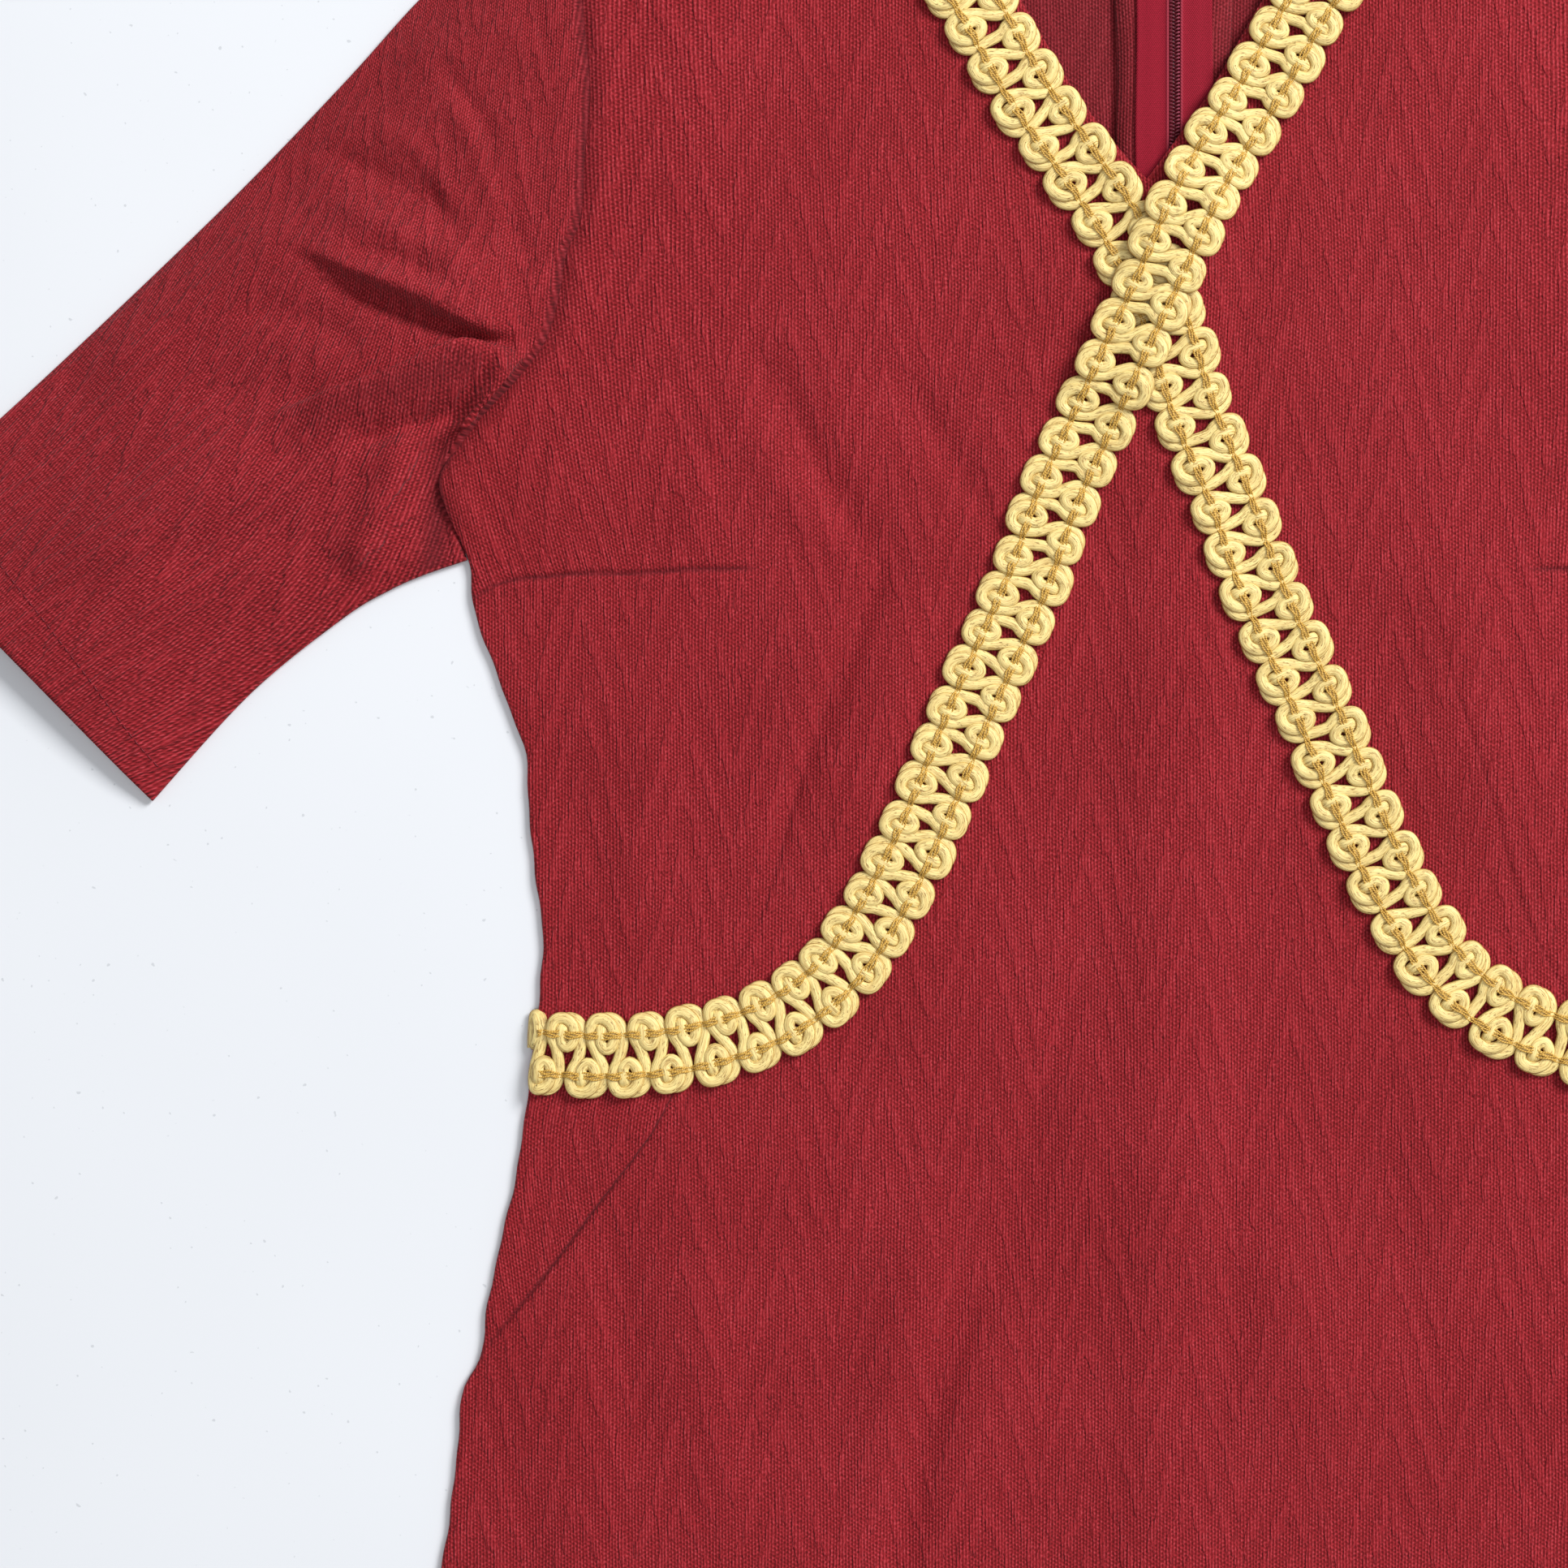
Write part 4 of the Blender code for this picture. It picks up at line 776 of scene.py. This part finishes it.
def build_sleeve(name, side):
    upper = np.linspace(0.0, 1.0, UPPER_COLUMNS + 1)
    lower = np.linspace(1.0, 0.0, LOWER_COLUMNS + 1)
    turn = np.linspace(90.0, -90.0, EDGE_COLUMNS + 2)[1:-1] * math.pi / 180.0
    kinds = np.concatenate((np.zeros(len(upper)), np.full(EDGE_COLUMNS, 1), np.full(len(lower), 2),
                            np.full(EDGE_COLUMNS, 3)))
    shares = np.concatenate((upper, np.ones(EDGE_COLUMNS), lower, np.zeros(EDGE_COLUMNS)))
    angles = np.concatenate((np.zeros(len(upper)), turn, np.zeros(len(lower)), -turn))
    shares, kinds, angles = np.append(shares, shares[0]), np.append(kinds, 0), np.append(angles, 0.0)
    along = np.linspace(0.0, 1.0, SLEEVE_SECTIONS + 1) ** 1.35
    along = along[:, None] + 0.0 * shares[None, :]
    share = shares[None, :] + 0.0 * along
    plan = sleeve_plan(along, share)
    near_edge = np.full_like(share, EDGE_SHARE)
    inward_top = sleeve_plan(along, near_edge) - sleeve_plan(along, np.zeros_like(share))
    inward_low = sleeve_plan(along, 1.0 - near_edge) - sleeve_plan(along, np.ones_like(share))
    inward_top /= np.linalg.norm(inward_top, axis=-1, keepdims=True)
    inward_low /= np.linalg.norm(inward_low, axis=-1, keepdims=True)
    near_top = np.clip(1.0 - share / EDGE_SHARE, 0.0, 1.0)[..., None]
    near_low = np.clip(1.0 - (1.0 - share) / EDGE_SHARE, 0.0, 1.0)[..., None]
    plan = plan + ROLL * (inward_top * near_top + inward_low * near_low)
    bulge = np.where((kinds == 1) | (kinds == 3), ROLL * np.cos(angles), 0.0)[..., None]
    plan = plan - bulge * (inward_top * near_top + inward_low * near_low)
    out, down = plan[..., 0], plan[..., 1]
    middle = np.sin(math.pi * np.clip(share, 0.0, 1.0))
    inside = ease(0.0, 0.02, along) * ease(0.0, 0.05, middle)
    soft = ease(0.0, 0.12, along) * np.minimum(1.0, 5.0 * middle)
    head = SLEEVE_HEAD * np.exp(-(((along - 0.03) / 0.024) ** 2)) * np.minimum(1.0, 4.0 * middle)
    full = SLEEVE_BODY * middle * ease(0.0, 0.2, along) + 0.8 * np.minimum(1.0, 3.0 * middle) * soft
    waves = SLEEVE_WAVES * ripple(out, down, 8.0) * soft
    creased, lean_out, lean_down = crease_shape(SLEEVE_CREASES[side], out, down)
    top = full + head + creased * inside + waves
    top = np.where(top < 0.0, 0.8 * np.tanh(top / 0.8), top)
    tucked = 1.0 - ease(0.0, 0.010, along)
    upper_height = PILE_TOP + top - TUCK_DOWN * tucked
    lower_lie = 0.25 * (1.0 + ripple(out, down, 21.0)) * ease(0.0, 0.5, middle) * ease(0.0, 0.1, along)
    height = np.select([kinds == 0, (kinds == 1) | (kinds == 3)],
                       [upper_height, ROLL + ROLL * np.sin(angles)], lower_lie)
    folded = np.where(kinds == 0, inside * ease(0.0, 0.02, along - 0.01), 0.0)
    under_front = np.where(kinds == 0, TUCK_UNDER * tucked * ease(0.0, 0.2, middle), 0.0)
    out = out - under_front + folded * lean_out
    down = down + folded * lean_down
    points = place(side * out, down, height)
    rib_out = plan[..., 0] - 0.9 * (plan[..., 1] - 190.0) * ease(150.0, 370.0, plan[..., 0])
    # Painted shade: the knit is darkened where its edge slopes down into the armhole seam and in the hollows
    # by the underarm fold.
    seam = np.maximum(0.9 * np.exp(-((along / SEAM_SHADE_SHARE) ** 2)), hollow_shade(plan[..., 0], plan[..., 1]))
    seam = np.where(kinds == 0, seam, 0.0)
    grain = np.stack((side * rib_out, 1.15 * plan[..., 1], seam), -1)
    if side > 0:
        points, grain = points[:, ::-1], grain[:, ::-1]
    columns = len(shares) - 1
    sleeve = new_grid(name, columns, SLEEVE_SECTIONS)
    shape_grid(sleeve, columns, SLEEVE_SECTIONS, points, grain)
    clean_up(sleeve)
    apply_wall(sleeve, FRONT_WALL)
    sleeve.data.materials.clear()
    sleeve.data.materials.append(sleeve_crepe)
    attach(sleeve, "dress")
    return sleeve


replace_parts(build_sleeve("sleeve_knit_left", -1), "sleeve_left")
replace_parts(build_sleeve("sleeve_knit_right", 1), "sleeve_right")


# The braid is scroll gimp, 27 mm wide: one satin rayon cord wound into a coil on each side in turn and
# held by fine chain stitches along both sides. It is sewn on from each shoulder to the other side seam.
# Out and down of the braid's middle, shoulder to side seam; the last point is round the side edge
BRAID_LINE = (
    (98.6, 9.5), (76.4, 43), (53.6, 76.9), (37.2, 105.5), (20.8, 130), (7.4, 153), (-5.8, 183),
    (-15, 207.2), (-27, 234.6), (-36.6, 261.5), (-53.2, 298.7), (-68.4, 335.4), (-81, 361.3),
    (-96.4, 384.1), (-117.2, 399.5), (-142.8, 407.7), (-168, 410.3), (-187.5, 409.6),
    (-193, 409.3),
)
CROSSING_RISE = 3.3
CORD_WIDE = 1.9
CORD_THICK = 1.12
CORD_SIDES = 10
CORD_STEPS = 84
STATIONS = 220
# One coil, from where its cord comes in to where the cord leaves for the next coil: towards the side
# seam, out from the braid's middle, height of the cord's middle above the cloth
COIL = (
    (1.8, -5.6, 1.7), (3.2, -2.4, 2.1), (3.8, 1.2, 2.3), (2.5, 4.2, 2.3), (-0.8, 4.5, 2.3), (-3.4, 1.9, 2.3),
    (-3.5, -2.4, 2.25), (-1.5, -4.6, 2.2), (0.5, -2.9, 2.35), (0.5, -0.6, 2.6), (0.4, 1.3, 2.45),
    (0.2, 2.3, 1.5), (-0.8, 4.6, 1.0), (-4.0, 4.3, 1.1), (-6.1, 1.6, 1.3), (-6.3, -2.4, 1.5),
)
DRAWN_PITCH = 13.0
COIL_OUT = 6.9
LOWEST_CORD = 1.5
LEAD_UNDER = 0.58
LEAD_OVER = 0.29
LEAD_OVER_GAIN = 0.21
EDGE_TURN = 3.0
EDGE_DROP = 0.14
LAST_COIL = 4.5
CROSSING_FULL = 28.0
CROSSING_END = 46.0
GROUND_HALF = 14.0
GROUND_PLACES = 14
CORE_RING = 1.2
CORE_HEIGHT = 1.9
CORE_WIDE = 1.3
CORE_THICK = 0.8
CHAIN_STRANDS = (-1.5, -0.5, 0.5, 1.5)
CHAIN_OUT = 6.4
CHAIN_STEP = 0.7
CHAIN_IN_COIL = 3.35
CHAIN_ON_COIL = 3.72
CHAIN_BETWEEN = 2.3
CHAIN_WIDE = 0.27
CHAIN_THICK = 0.23


def braid_ground(line, normals):
    """Height of the cloth under the braid, at stations along it and places across it."""
    places_across = np.linspace(-GROUND_HALF, GROUND_HALF, GROUND_PLACES + 1)
    spots = line[:, None, :] + normals[:, None, :] * places_across[None, :, None]
    ground = np.full(spots.shape[:2], 0.0)
    for shift_x, shift_down in ((0, 0), (2.4, 0), (-2.4, 0), (0, 2.4), (0, -2.4)):
        ground = np.maximum(ground, front_height(spots[..., 0] + shift_x, spots[..., 1] + shift_down))
    beyond = np.abs(spots[..., 0]) - read_table(OUTLINE, spots[..., 1])
    return ground - 2.6 * ease(-3.0, 1.2, beyond)


def sweep(name, paths, wide, thick, sides):
    """A cord of flattened section along each path, with closed ends; grain runs round and along."""
    verts, faces, grains = [], [], []
    first = 0
    angles = np.arange(sides) * 2.0 * math.pi / sides
    for path in paths:
        count = len(path)
        ahead = np.gradient(path, axis=0)
        ahead /= np.linalg.norm(ahead, axis=1, keepdims=True)
        across = np.stack((-ahead[:, 1], ahead[:, 0], 0.0 * ahead[:, 0]), -1)
        across /= np.maximum(np.linalg.norm(across, axis=1, keepdims=True), 1e-6)
        over = np.cross(ahead, across)
        over *= np.sign(over[:, 2:3] + 1e-9)
        ring = (path[:, None, :] + across[:, None, :] * (np.cos(angles) * wide)[None, :, None]
                + over[:, None, :] * (np.sin(angles) * thick)[None, :, None])
        steps = np.concatenate(((0.0,), np.cumsum(np.linalg.norm(np.diff(path, axis=0), axis=1))))
        verts.append(ring.reshape(-1, 3))
        grains.append(np.stack((np.broadcast_to(angles, (count, sides)),
                                np.broadcast_to(steps[:, None], (count, sides)),
                                np.full((count, sides), 7.3 * (len(verts) % 17))), -1).reshape(-1, 3))
        index = first + np.arange(count - 1)[:, None] * sides + np.arange(sides)[None, :]
        beside = first + np.arange(count - 1)[:, None] * sides + (np.arange(sides)[None, :] + 1) % sides
        faces += np.stack((index, beside, beside + sides, index + sides), -1).reshape(-1, 4).tolist()
        faces.append((first + np.arange(sides))[::-1].tolist())
        faces.append((first + (count - 1) * sides + np.arange(sides)).tolist())
        first += count * sides
    mesh = bpy.data.meshes.new(name)
    mesh.from_pydata((np.concatenate(verts) * MM).tolist(), [], faces)
    kept = mesh.attributes.new("grain", "FLOAT_VECTOR", "POINT")
    kept.data.foreach_set("vector", np.concatenate(grains).ravel())
    piece = bpy.data.objects.new(name, mesh)
    bpy.context.scene.collection.objects.link(piece)
    clean_up(piece, 0.0001)
    piece.data.shade_smooth()
    return piece


def rayon_material():
    """Satin cord of fine, slightly twisted filaments, pale gold; painted highlight on top, painted shade at
    sides.
    """
    material, shader, grain, (around, along, seed) = start_material("gold_rayon", "grain")
    turned = around.node("ShaderNodeCombineXYZ", {}, {
        0: around.math("COSINE", around) + 0.02 * along,
        1: around.math("SINE", around),
        2: along * 0.045 + seed})
    filament = turned.noise(6.5, 3.0)
    strand = turned.noise(2.2, 2.0)
    # Painted highlight and shade: the upper side of the cord is coloured paler and its sides deeper gold.
    crown_highlight = around.math("SINE", around).step(-0.35, 0.8)
    fleck = turned.scaled(1.0, 1.0, 3.4).noise(3.6, 2.0).step(0.60, 0.68)
    line = turned.scaled(1.0, 1.0, 1.6).noise(5.0, 1.0).step(0.60, 0.67)
    tone = 0.62 * crown_highlight + 1.5 * (filament - 0.5) + 0.8 * (strand - 0.5)
    gold = tone.step(-0.2, 0.95).between((0.43, 0.21, 0.026, 1.0), (0.98, 0.78, 0.31, 1.0))
    marks = 0.5 * fleck + 0.4 * line
    feed(shader, "Base Color", marks.between(gold, (0.27, 0.11, 0.012, 1.0)))
    feed(shader, "Normal", bump(0.18 * filament + 0.12 * strand - 0.1 * fleck))
    shader.inputs["Roughness"].default_value = 0.46
    shader.inputs["Specular IOR Level"].default_value = 0.45
    return material


def thread_material(name, dark, light):
    """Two-ply sewing thread: a fine diagonal twist."""
    material, shader, grain, (around, along, _) = start_material(name, "grain")
    twist = (along + around * 0.13).wave(0.8)
    feed(shader, "Base Color", twist.between(dark, light))
    feed(shader, "Normal", bump(0.05 * twist))
    shader.inputs["Roughness"].default_value = 0.6
    return material


rayon = rayon_material()
chain_thread = thread_material("gold_thread", (0.42, 0.21, 0.022, 1.0), (0.80, 0.50, 0.10, 1.0))


def build_braid(name, node_name, side, rise, coils, reverse):
    """side 1 starts at +X; reverse lays the strip the other way round, as cut from the same length."""
    line, length = smooth_line(BRAID_LINE, STATIONS)
    line = line * np.array((side, 1.0))
    ahead = np.gradient(line, axis=0)
    ahead /= np.linalg.norm(ahead, axis=1, keepdims=True)
    normals = np.stack((ahead[:, 1], -ahead[:, 0]), -1)
    ground = braid_ground(line, normals)
    stations = np.linspace(0.0, length, STATIONS + 1)
    crossing = stations[np.argmin(np.abs(line[:, 0]))]
    off_crossing = np.abs(stations - crossing)
    ground = ground + rise * (1.0 - ease(CROSSING_FULL, CROSSING_END, off_crossing))[:, None]

    def lay(along, across, above):
        """A point of the braid in millimetres, from its distance along, to the left, and its height."""
        if reverse:
            along, across = length - along, -across
        past = np.maximum(along - length + EDGE_TURN, 0.0)
        along = np.clip(along, 0.5, length - EDGE_TURN) + EDGE_TURN * np.tanh(past / (2.0 * EDGE_TURN))
        above = above - EDGE_DROP * past
        middle = np.stack([np.interp(along, stations, line[:, axis]) for axis in (0, 1)], -1)
        normal = np.stack([np.interp(along, stations, normals[:, axis]) for axis in (0, 1)], -1)
        spot = middle + normal * across[:, None]
        row = np.clip(along / length * STATIONS, 0, STATIONS - 1e-6)
        ground_step = 2.0 * GROUND_HALF / GROUND_PLACES
        column = np.clip((across + GROUND_HALF) / ground_step, 0, GROUND_PLACES - 1e-6)
        low_row, low_column = row.astype(int), column.astype(int)
        row_part, column_part = row - low_row, column - low_column
        near = mix(ground[low_row, low_column], ground[low_row, low_column + 1], column_part)
        far = mix(ground[low_row + 1, low_column], ground[low_row + 1, low_column + 1], column_part)
        height = np.maximum(mix(near, far, row_part) + above, LOWEST_CORD)
        return place(spot[:, 0], spot[:, 1], height) / MM

    pitch = length / coils
    route = []
    nodes = []
    for index in reversed(range(-1, coils + 1)):
        at = (index + 0.5) * pitch
        lead_share = LEAD_OVER + LEAD_OVER_GAIN * float(ease(0.45, 0.8, at / length))
        lead = pitch * (LEAD_UNDER if reverse else lead_share)
        for row, shift in ((1.0, lead / 2.0), (-1.0, -lead / 2.0)):
            swell = 1.0 + 0.06 * math.sin(index * 2.7 + row)
            centre = at + shift + 0.35 * math.sin(index * 1.9 + row * 2.0)
            stretch = pitch / DRAWN_PITCH
            from_shoulder = length - centre if reverse else centre
            if not -1.0 < from_shoulder < length + LAST_COIL:
                continue
            nodes.append((centre, row))
            for towards, outward, above in COIL:
                route.append((centre + towards * swell * stretch, row * (COIL_OUT + outward * swell), above))
    path, _ = smooth_line(route, coils * 2 * CORD_STEPS)
    cord = sweep(name, [lay(path[:, 0], path[:, 1], path[:, 2])], CORD_WIDE, CORD_THICK, CORD_SIDES)
    cord.data.materials.append(rayon)
    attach(cord, "dress")
    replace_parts(cord, node_name)
    turn = np.linspace(0.4, 5.8, 9)
    cores = [lay(centre + CORE_RING * np.cos(turn), row * (COIL_OUT + 0.2 + CORE_RING * np.sin(turn)),
                 CORE_HEIGHT + 0.0 * turn) for centre, row in nodes]
    core = sweep(name + "_core", cores, CORE_WIDE, CORE_THICK, 8)
    core.data.materials.append(rayon)
    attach(core, "dress")
    threads = []
    for row in (1.0, -1.0):
        centres = np.sort([centre for centre, of_row in nodes if of_row == row])
        steps = np.arange(0.0, length, CHAIN_STEP)
        from_coil = np.min(np.abs(steps[:, None] - centres[None, :]), axis=1)
        for strand in CHAIN_STRANDS:
            above = mix(CHAIN_IN_COIL, CHAIN_ON_COIL, ease(0.5, 2.6, from_coil))
            above = mix(above, CHAIN_BETWEEN, ease(4.6, pitch / 2.0 - 0.3, from_coil))
            above = above + 0.10 * np.sin(steps * 2.2 + strand * 2.0)
            gather = mix(0.62, 0.42, ease(2.5, pitch / 2.0 - 0.5, from_coil))
            out = CHAIN_OUT + strand * gather + 0.24 * np.sin(steps * 1.1 + strand * 2.1)
            threads.append(lay(steps, row * out, above))
    chain = sweep(name + "_chain", threads, CHAIN_WIDE, CHAIN_THICK, 6)
    chain.data.materials.append(chain_thread)
    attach(chain, "dress")


build_braid("scroll_braid_under", "braid_under", -1, 0.0, 37, True)
build_braid("scroll_braid_over", "braid_over", 1, CROSSING_RISE, 40, False)


# The zip is a 500 mm coil zip let into the centre back: two twill tapes, the closed coil between them,
# an enamelled slider at the neck, and its pull tab lying towards the neck.
TAPE_HALF = 12.2
TAPE_LIFT = 3.0
TAPE_THICK = 0.7
COIL_HALF = 1.4
COIL_PITCH = 1.15
COIL_WIRE_WIDE = 0.36
COIL_WIRE_THICK = 0.34
zip_top = LENGTH / 2.0 - float(back_top_down(ZIP_OUT)) - 0.4
zip_foot = LENGTH / 2.0 - ZIP_END


def tape_material():
    """Twill tape: fine diagonal lines, with a plainer pale edge beside the coil."""
    material, shader, grain, (u, v, _) = start_material("twill_tape", "grain")
    twill = (u + v * 0.62).wave(0.62)
    thread = v.wave(0.42)
    fuzz = grain.noise(1.6, 2.0)
    tone = 0.45 * twill + 0.2 * thread + 0.6 * (fuzz - 0.5) + 0.2
    colour = tone.step(0.0, 0.9).between((0.14, 0.001, 0.006, 1.0), (0.37, 0.009, 0.030, 1.0))
    inner = 1.0 - u.step(0.3, 1.0)
    feed(shader, "Base Color", (0.55 * inner).between(colour, (0.42, 0.06, 0.09, 1.0)))
    feed(shader, "Normal", bump(0.09 * twill + 0.04 * thread + 0.25 * inner))
    shader.inputs["Roughness"].default_value = 0.75
    shader.inputs["Specular IOR Level"].default_value = 0.2
    return material


twill_tape = tape_material()
for tape_name, node_name, tape_side in (
        ("tape_left", "zip_tape_left", -1), ("tape_right", "zip_tape_right", 1)):
    columns, rows = 14, 260
    out = np.linspace(COIL_HALF + 0.3, TAPE_HALF, columns + 1)[None, :] + np.zeros((rows + 1, 1))
    y = np.linspace(zip_top, zip_foot, rows + 1)[:, None] + 0.0 * out
    waver = 0.25 * np.sin(y / 11.0) * ease(6.0, 12.0, out)
    top = TAPE_LIFT + 0.45 * np.exp(-(((out - 1.9) / 0.5) ** 2)) + 0.06 * np.sin(out * 1.1)
    points = np.stack((ZIP_OUT + tape_side * (out + waver), y, top), -1) * MM
    grain = np.stack((out - COIL_HALF - 0.3, y, 0.0 * y), -1)
    if tape_side < 0:
        points, grain = points[:, ::-1], grain[:, ::-1]
    tape = new_grid(tape_name, columns, rows)
    shape_grid(tape, columns, rows, points, grain)
    face_up(tape)
    apply_wall(tape, TAPE_THICK, 1.0)
    tape.data.materials.clear()
    tape.data.materials.append(twill_tape)
    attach(tape, "dress")
    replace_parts(tape, node_name)

coil_paths = []
turns = int((zip_top - 8.8 - zip_foot) / COIL_PITCH)
for turn in range(turns):
    y = zip_foot + 0.6 + turn * COIL_PITCH
    for side in (-1.0, 1.0):
        shift = 0.0 if side < 0 else COIL_PITCH / 2.0
        coil_paths.append(np.array((
            (ZIP_OUT + side * 1.45, y + shift + 0.55, TAPE_LIFT + 0.75),
            (ZIP_OUT + side * 0.75, y + shift + 0.2, TAPE_LIFT + 1.35),
            (ZIP_OUT - side * 0.05, y + shift - 0.1, TAPE_LIFT + 1.15),
        )))
coil_piece = sweep("coil", coil_paths, COIL_WIRE_WIDE, COIL_WIRE_THICK, 6)
nylon, nylon_shader, nylon_grain, (_, nylon_along, _) = start_material("nylon_coil", "grain")
nylon_colour = nylon_along.step(0.1, 1.1).between((0.38, 0.07, 0.12, 1.0), (0.12, 0.004, 0.014, 1.0))
feed(nylon_shader, "Base Color", nylon_colour)
feed(nylon_shader, "Normal", bump(0.05 * nylon_grain.noise(4.0)))
nylon_shader.inputs["Roughness"].default_value = 0.42
coil_piece.data.materials.append(nylon)
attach(coil_piece, "dress")
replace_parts(coil_piece, "zip_coil")


def enamel_material():
    """Enamelled zinc: slightly uneven in colour and gloss."""
    material = bpy.data.materials.new("red_enamel")
    material.use_nodes = True
    shader = material.node_tree.nodes["Principled BSDF"]
    maker = Value(material.node_tree, None)
    spot = maker.node("ShaderNodeTexCoord", {}, {}, 3)
    cast = spot.noise(900.0, 3.0)
    colour = cast.step(0.3, 0.75).between((0.22, 0.008, 0.02, 1.0), (0.36, 0.016, 0.036, 1.0))
    feed(shader, "Base Color", colour)
    feed(shader, "Roughness", 0.24 + 0.2 * cast)
    feed(shader, "Normal", bump(0.03 * cast))
    shader.inputs["Coat Weight"].default_value = 0.4
    return material


enamel = enamel_material()
for metal_name in ("zip_slider", "zip_pull"):
    for metal_slot in bpy.data.objects[metal_name].material_slots:
        metal_slot.material = enamel


# Hem and cuffs are turned up inside and held by one row of short stitches in a thread of the knit's
# own red.
stitch_thread = thread_material("red_thread", (0.12, 0.005, 0.010, 1.0), (0.30, 0.018, 0.030, 1.0))


STITCH_PITCH = 3.0
STITCH_SHARE = 0.72
HEM_DEPTH = 20.0
CUFF_LINE = 0.93


def stitch_row(name, places):
    """Short stitches lying on the cloth along a line of points in millimetres."""
    whole = float(np.linalg.norm(np.diff(np.array(places), axis=0), axis=1).sum())
    line, _ = smooth_line(places, int(whole / STITCH_PITCH))
    paths = []
    for index in range(len(line) - 1):
        run = line[index + 1] - line[index]
        start, end = line[index] + run * 0.12, line[index] + run * (0.12 + STITCH_SHARE)
        middle = (start + end) / 2.0 + np.array((0.0, 0.0, 0.18))
        paths.append(np.array((start - (0, 0, 0.1), middle, end - (0, 0, 0.1))))
    row = sweep(name, paths, 0.2, 0.18, 5)
    row.data.materials.append(stitch_thread)
    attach(row, "dress")


hem_across = np.linspace(-HALF_HEM + 9.0, HALF_HEM - 9.0, 90)
hem_outer = np.full_like(hem_across, HEM_SIDE_DOWN - HEM_DEPTH)
hem_down = hem_outer + hem_sag(hem_across, hem_outer)
hem_line = place(hem_across, hem_down, front_height(hem_across, hem_down) + 0.12) / MM
stitch_row("hem_stitching", hem_line)
for cuff_name, cuff_side, sign in (
        ("cuff_stitching_left", "sleeve_knit_left", -1.0),
        ("cuff_stitching_right", "sleeve_knit_right", 1.0)):
    sleeve = bpy.data.objects[cuff_side]
    share = np.linspace(0.04, 0.96, 40)
    plan = sleeve_plan(np.full_like(share, CUFF_LINE), share)
    cuff_points = []
    for spot_out, spot_down in plan:
        origin = Vector(place(sign * spot_out, spot_down, 40.0).tolist())
        hit, where, _, _ = sleeve.ray_cast(origin, Vector((0.0, 0.0, -1.0)))
        if hit:
            cuff_points.append((where.x / MM, where.y / MM, where.z / MM + 0.1))
    stitch_row(cuff_name, cuff_points)


# The table is a white laminate top, slightly bluish, with a few tiny specks.
bpy.ops.object.select_all(action="DESELECT")
bpy.ops.mesh.primitive_plane_add(size=6.0, location=(0.0, 0.0, -0.0003))
table = bpy.context.object
table.name = "table_top"
laminate = bpy.data.materials.new("white_laminate")
laminate.use_nodes = True
laminate_shader = laminate.node_tree.nodes["Principled BSDF"]
laminate_maker = Value(laminate.node_tree, None)
laminate_spot = laminate_maker.node("ShaderNodeTexCoord", {}, {}, 3)
cloudy = laminate_spot.noise(5.0, 2.0)
speck = laminate_spot.noise(420.0, 1.0).step(0.74, 0.78)
laminate_colour = cloudy.step(0.3, 0.7).between((0.768, 0.787, 0.820, 1.0), (0.788, 0.807, 0.840, 1.0))
feed(laminate_shader, "Base Color", (0.5 * speck).between(laminate_colour, (0.45, 0.47, 0.50, 1.0)))
laminate_shader.inputs["Roughness"].default_value = 0.55
table.data.materials.append(laminate)

# Soft light from a window at the photo's upper right shades the knit and the folds. A weak lamp above
# and a pale room fill the shadows.
world = bpy.data.worlds.new("pale_room")
bpy.context.scene.world = world
world.use_nodes = True
background = world.node_tree.nodes["Background"]
background.inputs["Color"].default_value = (0.93, 0.96, 1.0, 1.0)
background.inputs["Strength"].default_value = 0.37
aim = Vector((-0.113, 0.365, 0.0))
for lamp_name, lamp_place, lamp_size, lamp_power in (
        ("window", (2.10, 2.20, 2.35), 1.4, 144.0), ("overhead", (0.0, 0.0, 2.4), 1.5, 13.0)):
    lamp = bpy.data.lights.new(lamp_name, "AREA")
    lamp.size = lamp_size
    lamp.energy = lamp_power
    lamp_object = bpy.data.objects.new(lamp_name, lamp)
    lamp_object.location = lamp_place
    lamp_object.rotation_euler = (aim - Vector(lamp_place)).to_track_quat("-Z", "Y").to_euler()
    bpy.context.scene.collection.objects.link(lamp_object)

# The camera looks straight down from just under a metre.
camera_data = bpy.data.cameras.new("camera")
camera_data.lens = 70.0
camera_data.sensor_width = 36.0
camera = bpy.data.objects.new("camera", camera_data)
camera.location = (-0.1131, 0.3654, 0.9670)
bpy.context.scene.collection.objects.link(camera)
bpy.context.scene.camera = camera
bpy.context.scene.view_settings.view_transform = "Standard"
